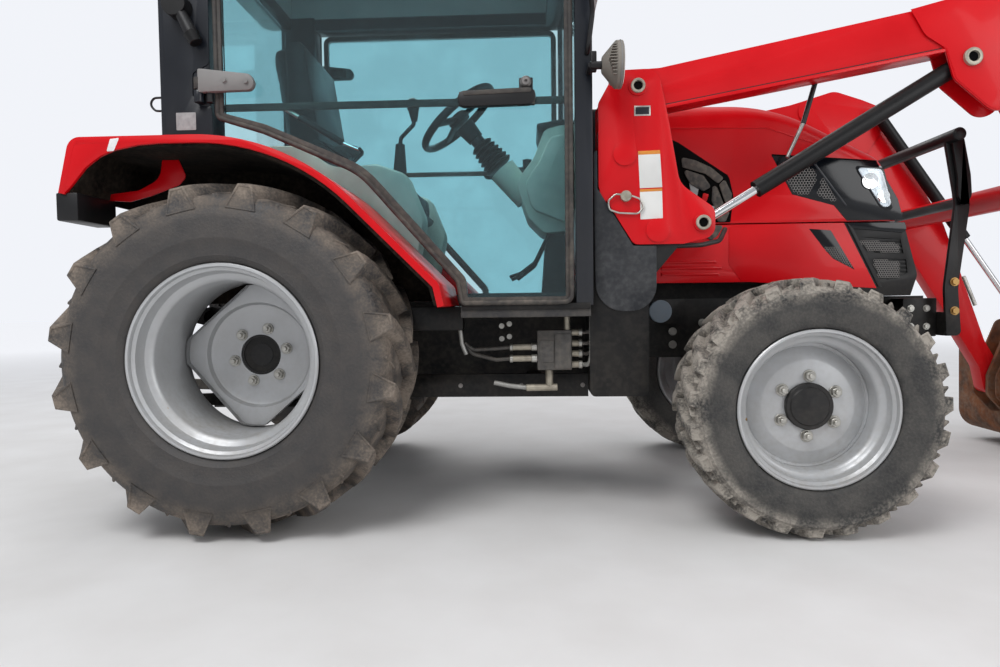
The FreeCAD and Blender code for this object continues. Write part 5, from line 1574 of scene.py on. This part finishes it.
@dataclass
class Tower:
    """Pins, plates and blank labels on the loader's towers."""

    face: float = 602.0

    def pin(self, kit: Kit, x: float, z: float, radius: float) -> None:
        """Adds a hollow pin end.

        Args:
            kit: Kit that it is added to.
            x: Place of the pin.
            z: Height of the pin.
            radius: Radius of its ring.
        """
        kit.turned(Look.PIN, ((9.0, radius), (17.0, radius), (19.0, radius - 2), (19.0, radius * 0.66),
                              (11.0, radius * 0.6), (11.0, 0.0), (9.0, 0.0)), x, self.face, z)
        # A near-black disc in the pin's bore is painted shade.
        kit.turned(Look.SHADOW_BLACK, ((10.8, 0.0), (10.8, radius * 0.6), (12.0, radius * 0.6), (12.0, 0.0)), x,
                   self.face, z)

    def build(self) -> None:
        """Makes what is on the towers."""
        kit = Kit("tower_trim", Body.CHASSIS)
        self.pin(kit, 1399, 1538, 25.0)
        self.pin(kit, 1624, 1062, 26.0)
        for label, stripe in ((((1400, 1315), (1476, 1317), (1484, 1188), (1406, 1186)),
                               ((1400, 1315), (1476, 1317), (1477, 1304), (1401, 1302))),
                              (((1406, 1182), (1483, 1184), (1486, 1080), (1408, 1077)),
                               ((1406, 1182), (1483, 1184), (1483.5, 1175), (1406.5, 1173)))):
            kit.slab(Look.LABEL, label, self.face - 0.5, 1.4, 0.3)
            kit.slab(Look.STRIPE, stripe, self.face + 0.2, 1.0, 0.2)
        kit.block(Look.ZINC, (1387, self.face - 0.5, 1437), (57, 1.6, 35), 0.4)
        kit.block(Look.DARK, (1392, self.face + 0.6, 1442), (47, 0.9, 25), 0.3)
        kit.bar(Look.PIN, (1356, self.face - 2, 1158), (1356, self.face + 18, 1158), 19.0)
        kit.pipe(Look.ZINC, ((1356, self.face + 14, 1160), (1320, self.face + 12, 1166), (1294, self.face + 9, 1143),
                             (1297, self.face + 9, 1112), (1333, self.face + 8, 1100), (1398, self.face + 8, 1096),
                             (1420, self.face + 9, 1120), (1404, self.face + 10, 1148),
                             (1376, self.face + 14, 1158)), 3.5, 18.0)
        kit.slab(Look.SKIRT, ((1244, 1316, 14), (1257, 1320), (1258, 1189), (1382, 986), (1464, 982), (1464, 755, 90),
                              (1250, 755, 100)), 591.0, 12.5, 2.0)
        kit.block(Look.BLACK, (1208, 506, 1120), (22, 72, 380), 5.0)
        kit.bar(Look.PIN, (1466, 520, 988), (1512, 520, 988), 10.0)
        kit.bar(Look.PIN, (1512, 520, 988), (1538, 520, 989), 13.0)
        kit.pipe(Look.STEEL_LINE, ((1536, 520, 989), (1640, 512, 992), (1720, 470, 1010), (1760, 400, 1060)), 9.0, 50.0)
        kit.done()


@dataclass
class Arms:
    """Flanges, pins and fittings of the loader's boom, and the rod that props it."""

    outer: float = 583.0

    def build(self) -> None:
        """Makes what is on the boom."""
        kit = Kit("boom_trim", Body.BOOM)
        kit.slab(Look.RED, ((1492, 1476), (2452, 1645), (2452, 1633), (1492, 1464)), 500.0, 90.0, 1.5)
        # A thin dark red painted shadow line on the boom.
        kit.slab(Look.SHADOW, ((1500, 1482), (2440, 1648), (2440, 1643), (1500, 1477)), 583.0, 1.0, 0.0)
        for x, y, z in ((2537, self.outer + 7, 1611), (3375, self.outer - 1, 350)):
            kit.turned(Look.PIN, ((0.0, 30.0), (14.0, 30.0), (16.0, 27.0), (16.0, 19.0), (8.0, 17.0), (8.0, 0.0),
                                  (0.0, 0.0)), x, y, z)
            # A near-black disc in the pin's bore is painted shade.
            kit.turned(Look.SHADOW_BLACK, ((7.0, 0.0), (7.0, 17.0), (9.0, 17.0), (9.0, 0.0)), x, y, z)
        kit.slab(Look.RED, ((2330, 1778), (2560, 1836, 60), (2700, 1790, 60), (2796, 1748, 30), (2800, 1640, 60),
                            (2640, 1404, 60), (2486, 1540, 50), (2452, 1642), (2380, 1690, 60)), 591.0, 2.0, 1.0)
        kit.done()

        prop = Kit("prop_rod", Body.BOOM, (Side.RIGHT,))
        prop.bar(Look.TRIM, (2056, 495, 1585), (2010, 495, 1424), 9.0)
        prop.bar(Look.STEEL, (2010, 495, 1426), (1954, 495, 1304), 7.0)
        prop.done()


@dataclass
class CabSides:
    """Door edges, handles, hinge arms and pillar fittings."""

    plane: float = 655.0
    edge: tuple = ((-74, 1452, 26), (92, 1399, 200), (427, 1250, 260), (766, 866, 30), (779, 790, 12),
                   (1162, 790, 26), (1162, 2230, 36), (-74, 2230, 36))

    def door(self, side: Side) -> None:
        """Makes what is on one door.

        Args:
            side: Side of the tractor.
        """
        word = "left" if side is Side.LEFT else "right"
        kit = Kit("door_trim_" + word, Body["DOOR_" + word.upper()], (side,))
        line = [(x, self.plane - 1.0, z) for x, z in rounded(self.edge, 8)]
        kit.pipe(Look.SEAL, line + line[:2], 8.5, 4.0)
        handle = ((772, 1463, 26), (1043, 1467, 26), (1043, 1526, 26), (776, 1519, 26))
        kit.slab(Look.TRIM, handle, 644.0, 29.0, 6.0)
        kit.slab(Look.SEAL, ((786, 1500, 8), (1036, 1507, 8), (1024, 1523, 6), (798, 1517, 6)), 655.0, 21.0, 4.0)
        kit.turned(Look.STEEL, ((0.0, 19.0), (16.0, 19.0), (22.0, 13.0), (22.0, 5.0), (14.0, 4.0), (14.0, 0.0),
                                (0.0, 0.0)), 1010, 644, 1548, 32)
        kit.block(Look.TRIM, (986, 643, 1480), (48, 8, 84), 3.0)
        kit.bar(Look.ZINC, (150, 622, 1490), (212, 622, 1452), 8.0)
        kit.bar(Look.TRIM, (207, 622, 1455), (360, 622, 1362), 11.5)
        kit.bar(Look.CHROME, (358, 622, 1363), (424, 622, 1334), 4.5)
        kit.pipe(Look.TRIM, ((418, 622, 1342), (432, 622, 1326), (400, 622, 1296), (388, 622, 1282)), 6.5, 8.0)
        for z in (1545, 2030):
            kit.slab(Look.HINGE, ((-128, z - 14, 6), (-128, z + 70, 8), (58, z + 46, 28), (76, z + 14, 24),
                                  (60, z - 11, 22)), 664.0, 24.0, 6.0)
            kit.studs(Look.HINGE, [(-30, 687, z + 24), (46, 687, z + 18)], (0.0, 1.0, 0.0), 13.0)
            kit.bar(Look.TRIM, (-92, 668, z - 46), (-92, 668, z - 8), 12.0)
        kit.done()

    def build(self) -> None:
        """Makes what is on the cab's sides."""
        for side in Side:
            self.door(side)
        kit = Kit("pillar_trim", Body.CHASSIS)
        kit.slab(Look.DARK, ((-268, 1360, 10), (-94, 1360, 10), (-94, 1490, 12), (-140, 1500, 20), (-162, 1532, 14),
                             (-160, 1610, 14), (-100, 1640, 20), (-94, 2290, 10), (-268, 2290, 10)), 647.0, 5.0, 3.0)
        kit.slab(Look.LABEL_GREY, ((-224, 1412, 3), (-153, 1412, 3), (-153, 1473, 3), (-224, 1473, 3)), 651.8, 0.8, 0.0)
        kit.pipe(Look.TRIM, ((-270, 610, 1541), (-326, 610, 1540), (-342, 610, 1518), (-322, 610, 1494),
                             (-270, 610, 1492)), 4.0, 20.0)
        kit.block(Look.BLACK, (778, 560, 765), (450, 92, 22), 3.0)
        kit.block(Look.SEAL, (772, 610, 738), (392, 30, 20), 3.0)
        kit.done()


@dataclass
class Fenders:
    """Lips, undersides darkened with painted shade and dust, and tail plates of the rear fenders."""

    lip: tuple = ((-522, 1166), (-480, 1345, 45), (232, 1345, 740), (724, 853, 30), (740, 782))

    def build(self) -> None:
        """Makes what is on the fenders."""
        kit = Kit("fender_trim", Body.CHASSIS)
        outer = rounded(self.lip, 12)
        inner = rounded(((-503, 1162), (-474, 1192, 60), (-428, 1246, 60), (-380, 1280, 60), (-330, 1300, 60),
                         (-250, 1315, 60), (-180, 1319), (225, 1319, 716), (703, 845, 20), (717, 782)), 12)
        kit.slab(Look.RED, outer + inner[::-1], 836.0, 13.8, 3.0)
        cavity = rounded(((-496, 1158), (-457, 1321, 22), (222, 1321, 712), (700, 842, 18), (715, 782)), 12)
        deep = rounded(((-486, 1158), (-448, 1311, 22), (218, 1311, 702), (690, 840, 18), (706, 782)), 12)
        # The fender arches' undersides and inner walls are near black as painted shade, with real dust on them.
        kit.slab(Look.UNDERSIDE, cavity + deep[::-1], 402.0, 432.0, 0.0)
        kit.slab(Look.UNDERSIDE, ((-494, 1120), (-454, 1320, 22), (221, 1320, 711), (699, 843, 18), (710, 800),
                                  (-288, 800), (-288, 1120)), 400.4, 1.6, 0.0)
        kit.slab(Look.RED, ((-286, 1316, 10), (-228, 1316, 10), (-200, 1252, 20), (-226, 1222, 10), (-329, 1186, 60),
                            (-409, 1166, 30), (-484, 1172, 6), (-484, 1194, 6), (-376, 1206, 60), (-296, 1246, 60)),
                 636.0, 5.0, 1.2)
        kit.block(Look.TRIM, (-536, 636, 1076), (74, 208, 92), 6.0)
        kit.block(Look.LENS_RED, (-541, 650, 1090), (6, 84, 64), 2.0)
        kit.block(Look.LENS_AMBER, (-541, 746, 1090), (6, 84, 64), 2.0)
        kit.slab(Look.LENS, ((-354, 1296, 3), (-341, 1336, 3), (-310, 1339, 3), (-330, 1297, 3)), 849.0, 1.6, 0.6)
        kit.done()


@dataclass
class Interior:
    """Seat, steering column, dash and levers seen through the glass."""

    def seat(self) -> None:
        """Makes the seat's pads as stuffed cloth, and the base."""
        pads = []
        for name, low, high, puff in (("seat_cushion", (78, -228, 1172), (548, 228, 1284), 0.013),
                                      ("seat_squab", (36, -208, 1318), (138, 208, 1868), 0.014)):
            pads.append(Cushion(name, low, high, puff).build())
        kit = Kit("seat_shell", Body.CHASSIS, ONE)
        kit.slab(Look.TRIM, ((66, 1296), (182, 1296, 20), (92, 1880, 30), (12, 1884, 30), (26, 1400, 40)), -222.0,
                 444.0, 16.0)
        kit.slab(Look.TRIM, ((64, 1162, 20), (556, 1162, 30), (556, 1196, 10), (64, 1196, 10)), -243.0, 486.0, 8.0)
        kit.slab(Look.CASTING, ((154, 828), (476, 828), (440, 1156, 20), (190, 1156, 20)), -165.0, 330.0, 6.0)
        for side in (-1, 1):
            kit.slab(Look.TRIM, ((40, 1392, 20), (330, 1392, 22), (330, 1436, 22), (40, 1440, 20)), side * 252.0 - 24,
                     48.0, 12.0)
        kit.done("seat")

    def column(self) -> None:
        """Makes the steering column with its folded boot."""
        kit = Kit("column_trim", Body.CHASSIS, ONE)
        tilt = math.radians(40.0)
        along = [(708 + math.sin(tilt) * at, 0.0, 1609 - math.cos(tilt) * at) for at in (46, 120, 150, 330, 470)]
        kit.bar(Look.TRIM, along[0], along[1], 44.0, 36.0)
        kit.bar(Look.TRIM, along[1], along[2], 30.0, 30.0)
        for fold in range(6):
            at = 150 + fold * 22.0
            start, middle, end = [(708 + math.sin(tilt) * d, 0.0, 1609 - math.cos(tilt) * d)
                                  for d in (at, at + 11, at + 22)]
            kit.bar(Look.TRIM, start, middle, 40.0 + 3 * fold, 54.0 + 3 * fold)
            kit.bar(Look.TRIM, middle, end, 54.0 + 3 * fold, 42.0 + 3 * fold)
        kit.bar(Look.GREY, (900, 0, 1380), along[4], 62.0, 54.0)
        kit.done()

    def dash(self) -> None:
        """Makes the dash, the consoles and the levers."""
        kit = Kit("dash_trim", Body.CHASSIS, ONE)
        for y, outline in ((150, ((1176, 1090), (1176, 1538, 8), (1092, 1536, 50), (1040, 1400, 120),
                                  (962, 1300, 90), (1012, 1150, 80), (1080, 1082, 40))),
                           (186, ((1176, 1120), (1176, 1490, 8), (1108, 1480, 50), (1064, 1380, 90),
                                  (1000, 1290, 70), (1030, 1180, 60)))):
            kit.slab(Look.GREY, outline, -y, 2.0 * y, 14.0)
        kit.slab(Look.TRIM, ((1050, 1540, 10), (1174, 1560, 10), (1174, 1530), (1060, 1500)), -150.0, 300.0, 6.0)
        kit.slab(Look.CASTING, ((1070, 828), (1176, 828), (1176, 1085), (1090, 1085)), -120.0, 240.0, 4.0)
        for y in (-150, 95, 150):
            kit.pipe(Look.TRIM, ((1100, y, 1080), (1040, y, 960), (960, y, 900)), 8.0, 40.0)
            kit.slab(Look.TRIM, ((930, 905, 6), (990, 925, 6), (990, 915, 4), (935, 893, 4)), y - 30, 60.0, 3.0)
        kit.done("dash_column")

        kit = Kit("console_trim", Body.CHASSIS)
        kit.slab(Look.GREY, ((-178, 828), (552, 828, 60), (612, 1120, 90), (540, 1300, 60), (420, 1342, 50),
                             (250, 1330, 120), (120, 1420, 90), (-178, 1424, 30)), 262.0, 120.0, 26.0)
        kit.slab(Look.TRIM, ((140, 1418, 16), (300, 1350, 20), (330, 1380, 24), (180, 1446, 20)), 290.0, 70.0, 12.0)
        kit.done("side_consoles")

        kit = Kit("lever_trim", Body.CHASSIS, (Side.RIGHT,))
        kit.bar(Look.TRIM, (505, 320, 1310), (508, 320, 1425), 27.0, 18.0)
        kit.pipe(Look.TRIM, ((508, 320, 1420), (511, 320, 1450), (562, 320, 1500), (566, 320, 1524)), 8.0, 22.0)
        kit.bar(Look.TRIM, (566, 320, 1514), (563, 320, 1562), 12.0, 22.0)
        kit.bar(Look.TRIM, (563, 320, 1560), (559, 320, 1596), 24.0, 22.0)
        kit.bar(Look.LABEL_GREY, (559, 320, 1595), (558, 320, 1604), 18.0, 12.0)
        kit.done()

        kit = Kit("pillar_lining", Body.CHASSIS, ONE)
        kit.slab(Look.GREY, ((-246, 1500, 10), (-244, 2156, 30), (-220, 2270, 10), (-160, 2194, 40), (-134, 2113, 40),
                             (-121, 1789, 60), (-112, 1500, 10)), 574.0, 9.0, 4.0)
        kit.done()

    def wheel(self) -> None:
        """Makes the steering wheel."""
        tilt = math.radians(40.0)
        profile = [(17.0 * math.sin(a), 190.0 + 15.0 * math.cos(a)) for a in [math.tau * s / 16 for s in range(16)]]
        rim = turned("steering_skin", profile, (0.0, 0.0, 0.0), Look.TRIM, 72)
        hub = turned("hub", ((14.0, 0.0), (14.0, 40.0), (0.0, 52.0), (-24.0, 44.0), (-30.0, 0.0)), (0.0, 0.0, 0.0),
                     Look.TRIM, 40)
        spoke = new_piece("spoke", [(x * 0.001, y * 0.001, z * 0.001) for z in (38.0, 186.0)
                                    for x, y in ((-19.0, -11.0), (19.0, -11.0), (15.0, 5.0), (-15.0, 5.0))],
                          ((0, 3, 2, 1), (4, 5, 6, 7), (0, 1, 5, 4), (1, 2, 6, 5), (2, 3, 7, 6), (3, 0, 4, 7)),
                          Look.TRIM)
        spokes = RING.grow(eased(spoke, 0.004), "spokes", Look.TRIM, Count=3, Centre=(0.0, 0.0, 0.0),
                           First=math.pi / 2)
        piece = joined("steering_skin", [rim, hub, spokes])
        upright = Matrix.Rotation(math.radians(90.0), 4, "X")
        lean = Matrix.Rotation(-tilt, 4, "Y")
        piece.data.transform(Matrix.Translation(here(708, 0, 1609)) @ lean @ upright)
        settle(piece, Body.STEERING.value, "steering_wheel")

    def build(self) -> None:
        """Makes everything inside the cab."""
        self.seat()
        self.column()
        self.dash()
        self.wheel()


@dataclass
class Cushion:
    """A pad that is puffed up by a cloth simulation."""

    name: str
    low: Point
    high: Point
    limit: float

    def build(self) -> bpy.types.Object:
        """Makes the pad.

        Returns:
            The piece.
        """
        low, high = Vector(here(*self.low)), Vector(here(*self.high))
        shape = bmesh.new()
        size = high - low
        place = Matrix.Translation((low + high) / 2.0) @ Matrix.Diagonal((*size, 1.0))
        bmesh.ops.create_cube(shape, size=1.0, matrix=place)
        piece = new_piece(self.name, (), (), Look.VINYL)
        shape.to_mesh(piece.data)
        shape.free()
        lean = math.radians(-8.0) if size.z > size.x else 0.0
        foot = Vector((low.x, 0.0, low.z))
        piece.data.transform(Matrix.Translation(foot) @ Matrix.Rotation(lean, 4, "Y") @ Matrix.Translation(-foot))
        eased(piece, 0.022, 3)
        remesh = piece.modifiers.new("cells", "REMESH")
        remesh.mode = "VOXEL"
        remesh.voxel_size = 0.006
        baked(piece)
        self.puff(piece)
        refine = piece.modifiers.new("fine", "SUBSURF")
        refine.levels = refine.render_levels = 1
        baked(piece)
        smooth(piece, 60.0)
        settle(piece, Body.CHASSIS.value)
        return piece

    def puff(self, piece: bpy.types.Object) -> None:
        """Blows the pad up as cloth, and caps how far each point moves.

        Args:
            piece: The pad.
        """
        before = [vertex.co.copy() for vertex in piece.data.vertices]
        cloth = piece.modifiers.new("cloth", "CLOTH")
        cloth.settings.use_pressure = True
        cloth.settings.uniform_pressure_force = 4.0
        cloth.settings.effector_weights.gravity = 0.0
        scene = bpy.context.scene
        for number in range(1, 21):
            scene.frame_set(number)
        baked(piece)
        scene.frame_set(1)
        for vertex, start in zip(piece.data.vertices, before):
            move = vertex.co - start
            if move.length > self.limit:
                vertex.co = start + move.normalized() * self.limit


@dataclass
class Lamps:
    """Work lamps, mirrors and their arms."""

    height: float = 1573.0
    out: float = 722.0
    ribs: int = 11

    def lamp(self, kit: Kit) -> None:
        """Adds the shell, lens, fins and bracket of the front work lamp.

        Args:
            kit: Kit that it is added to.
        """
        y, z = self.out, self.height
        kit.bar(Look.TRIM, (1225, 648.5, z), (1225, y + 6, z), 9.0)
        kit.bar(Look.TRIM, (1225, y, z), (1266, y, z), 13.0)
        kit.slab(Look.TRIM, ((1226, z - 17, 4), (1246, z - 17, 4), (1246, z + 49, 4), (1226, z + 49, 4)), 700.0, 20.0,
                 2.0)
        kit.bar(Look.BEIGE, (1262, y, z), (1306, y, z), 26.0, 76.0)
        kit.bar(Look.BEIGE, (1306, y, z), (1328, y, z), 76.0)
        kit.bar(Look.HINGE, (1318, y, z), (1323, y, z), 77.5)
        kit.bar(Look.LENS, (1327, y, z), (1331, y, z), 71.0, 68.0)
        for rib in range(self.ribs):
            rise = 9.5 * (rib - (self.ribs - 1) / 2.0)
            reach = math.sqrt(76.0 ** 2 - rise ** 2)
            kit.slab(Look.BEIGE, ((1280 + abs(rise) * 0.3, z + rise - 1.4), (1306, z + rise - 1.4),
                                  (1306, z + rise + 1.4), (1280 + abs(rise) * 0.3, z + rise + 1.4)), y - reach,
                     2 * reach, 0.0)

    def build(self) -> None:
        """Makes the lamps and the mirrors."""
        kit = Kit("lamp_trim", Body.CHASSIS)
        self.lamp(kit)
        kit.bar(Look.BLACK, (-195, 648.5, 1830), (-195, 708.5, 1830), 42.0)
        kit.bar(Look.TRIM, (-176, 690, 1800), (-140, 690, 1728), 19.0, 22.0)
        kit.bar(Look.BLACK, (-142, 690, 1732), (-124, 690, 1698), 27.0, 22.0)
        kit.block(Look.TRIM, (-535, 640, 1083), (70, 200, 77.7), 2.0)
        kit.done("lamps")

        kit = Kit("mirror_trim", Body.CHASSIS)
        kit.pipe(Look.TRIM, ((1220, 650, 1640), (1222, 672, 1650), (1236, 690, 1760), (1226, 735, 1810),
                             (1216, 735, 2056), (1218, 650, 2056)), 8.5, 40.0)
        kit.slab(Look.TRIM, ((1214, 1802, 14), (1250, 1806, 14), (1250, 2016, 14), (1214, 2018, 14)), 702.0, 146.0,
                 10.0)
        kit.done("mirrors")


@dataclass
class Underside:
    """Frame bolts, hydraulic block, filter, lines and axle fittings."""

    def build(self) -> None:
        """Makes the trim below the hood and the cab."""
        kit = Kit("frame_trim", Body.CHASSIS)
        kit.studs(Look.ZINC, [(x, 222, z) for x, z in ((1600, 666), (1600, 612), (1720, 700), (1850, 700),
                                                        (2300, 740), (2450, 740))], (0.0, 1.0, 0.0), 22.0)
        kit.block(Look.CASTING, (1236, 515, 452), (198, 12, 156), 4.0)
        kit.studs(Look.BRASS, [(x, 526.5, 480) for x in (1262, 1372)], (0.0, 1.0, 0.0), 20.0)
        kit.studs(Look.ZINC, [(x, 368.5, z) for x, z in ((905, 700), (935, 708), (905, 650), (935, 658))],
                  (0.0, 1.0, 0.0), 14.0)
        kit.studs(Look.STEEL, [(x, 368.5, 466) for x in range(260, 1230, 240)], (0.0, 1.0, 0.0), 12.0)
        kit.block(Look.BLACK, (300, 470, 690), (470, 60, 90), 8.0)
        kit.done()

        kit = Kit("filter_trim", Body.CHASSIS, (Side.RIGHT,))
        kit.turned(Look.FILTER, ((0.0, 0.0), (0.0, 41.0), (5.0, 44.5), (9.0, 44.5), (11.0, 42.0), (11.0, 0.0)), 1528,
                   330, 750)
        kit.done()
        self.valve()

    def valve(self) -> None:
        """Makes the hydraulic block with its couplings and steel lines."""
        kit = Kit("valve_trim", Body.CHASSIS, (Side.RIGHT,))
        kit.block(Look.VALVE, (1042, 432, 542), (126, 110, 146), 4.0)
        kit.block(Look.VALVE, (1050, 540, 571), (52, 6, 80), 2.0)
        kit.block(Look.VALVE, (1106, 540, 548), (58, 9, 126), 2.0)
        kit.bar(Look.PIN, (1152, 515, 686), (1152, 515, 752), 11.0)
        for z in (678, 638, 600, 560):
            kit.bar(Look.PIN, (1168, 515, z), (1196, 515, z), 12.0)
            kit.bar(Look.ZINC, (1194, 515, z), (1208, 515, z), 15.0)
            kit.pipe(Look.STEEL, ((1206, 515, z), (1224, 535, z), (1234, 575, z + 8)), 6.5, 12.0)
        kit.pipe(Look.LINE_PALE, ((1206, 515, 560), (1228, 560, 562), (1236, 580, 600), (1236, 580, 1120)), 8.0, 30.0)
        for z, low in ((626, 616), (584, 602)):
            kit.bar(Look.ZINC, (1042, 520, z), (1020, 520, z), 15.0)
            kit.bar(Look.PIN, (1022, 520, z), (950, 518, z - 1), 11.5)
            kit.bar(Look.ZINC, (952, 518, z - 1), (940, 518, z - 1), 14.0)
            kit.pipe(Look.STEEL_LINE, ((942, 518, z - 1), (890, 516, z - 5), (800, 512, low), (772, 500, 640)), 7.5,
                     40.0)
        kit.pipe(Look.LINE_PALE, ((778, 512, 600), (762, 512, 640), (752, 512, 734)), 8.0, 20.0)
        kit.bar(Look.PIN, (1086, 500, 540), (1086, 500, 480), 14.0)
        kit.bar(Look.PIN, (1116, 500, 474), (1000, 500, 473), 13.0)
        kit.pipe(Look.LINE_PALE, ((1004, 500, 473), (940, 500, 480), (880, 496, 492)), 9.0, 30.0)
        kit.done("hydraulic_valve")


@dataclass
class Guard:
    """Bolts and plates of the brush guard."""

    def build(self) -> None:
        """Makes what is on the guard."""
        kit = Kit("guard_trim", Body.CHASSIS)
        kit.bar(Look.BLACK, (2602, 430, 1392), (2602, 436, 1392), 24.0, 18.0)
        kit.slab(Look.BLACK, ((2596, 1395, 22), (2640, 1395, 22), (2668, 1250, 90), (2676, 1140, 40), (2626, 1140, 40),
                              (2622, 1240, 90)), 352.0, 40.0, 12.0)
        kit.studs(Look.BRASS, [(2626, 374, 850), (2628, 374, 740)], (0.0, 1.0, 0.0), 22.0)
        kit.bar(Look.ZINC, (2655, 380, 870), (2700, 380, 760), 7.0)
        kit.block(Look.BLACK, (2470, 222, 640), (130, 90, 150), 5.0)
        kit.studs(Look.ZINC, [(2500, 312, 680), (2560, 312, 680), (2500, 312, 750), (2560, 312, 750)],
                  (0.0, 1.0, 0.0), 18.0)
        kit.done()


@dataclass
class Bucket:
    """Cutting edge and quick attach plates of the bucket."""

    half: float = 915.0

    def build(self) -> None:
        """Makes what is on the bucket."""
        kit = Kit("bucket_trim", Body.BUCKET, ONE)
        kit.slab(Look.STEEL, ((3930, 13.5), (4079, 3.0), (4079, 5.5), (3930, 24.0)), -self.half + 12, 1806.0, 1.0)
        kit.done()
        kit = Kit("attach_trim", Body.BUCKET)
        kit.slab(Look.DARK, ((3330, 302, 40), (3330, 398, 40), (3440, 676, 40), (3540, 676, 40), (3540, 606, 30),
                             (3466, 560), (3452, 552), (3459, 204), (3422, 204, 30)), 592.0, 1.5, 0.5)
        kit.studs(Look.ZINC, [(3480, 605, 640), (3430, 605, 560), (3430, 605, 250)], (0.0, 1.0, 0.0), 24.0)
        kit.done()


@dataclass
class Hitch:
    """Drive shaft splines and rear fittings."""

    def build(self) -> None:
        """Makes what is at the tractor's tail."""
        kit = Kit("tail_trim", Body.CHASSIS, ONE)
        for tooth in range(6):
            angle = math.tau * tooth / 6
            y, z = 13.5 * math.cos(angle), 520 + 13.5 * math.sin(angle)
            kit.bar(Look.STEEL, (-318, y, z), (-262, y, z), 3.6)
        for x, z in ((-251, 760), (-251, 460)):
            kit.studs(Look.STEEL, [(x, y, z) for y in (-130, -60, 60, 130)], (-1.0, 0.0, 0.0), 20.0)
        kit.done()
        kit = Kit("rear_coupler_trim", Body.CHASSIS)
        for row in range(2):
            kit.bar(Look.ZINC, (-345, 60 + 45 * row, 765), (-372, 60 + 45 * row, 765), 14.0)
            kit.bar(Look.TRIM, (-372, 60 + 45 * row, 765), (-384, 60 + 45 * row, 765), 16.0)
        kit.done()


SKINS = (
    # finish, eased edge, nodes
    (Look.RED, 0.004, ("hood", "side_panels", "fenders", "boom", "loader_towers")),
    (Look.DARK, 0.003, ("cab_frame", "cowl")),
    (Look.BLACK, 0.003, ("front_frame", "loader_subframe", "brush_guard", "nose_grille", "drawbar", "top_link")),
    (Look.SEAL, 0.003, ("door_frame_left", "door_frame_right")),
)
FINISHES = (
    (Look.CASTING, ("engine_block", "transmission_housing", "front_axle_beam", "knuckle_left", "knuckle_right",
                    "lower_links", "lift_arms", "hitch_rods", "fuel_tank", "track_rod")),
    (Look.FLOOR_MAT, ("cab_floor",)),
    (Look.ROOF, ("roof",)),
    (Look.GLASS, ("cab_glass", "door_glass_left", "door_glass_right")),
    (Look.LENS, ("headlamps",)),
    (Look.BLACK, ("lift_barrels", "tilt_barrels")),
    (Look.CHROME, ("lift_rods", "tilt_rods")),
    (Look.RUST, ("bucket",)),
)


def main() -> None:
    """Builds the tractor's looks in order."""
    logging.basicConfig(level=logging.INFO, format="%(message)s")
    Studio().build()
    build_wheels()
    for look, width, nodes in SKINS:
        for node in nodes:
            dressed(node, look, width)
    for look, nodes in FINISHES:
        paint(look, *nodes)
    for maker in (Bonnet, Nose, Tower, Arms, CabSides, Fenders, Interior, Lamps, Underside, Guard, Bucket, Hitch):
        maker().build()


if __name__ == "__main__":
    main()
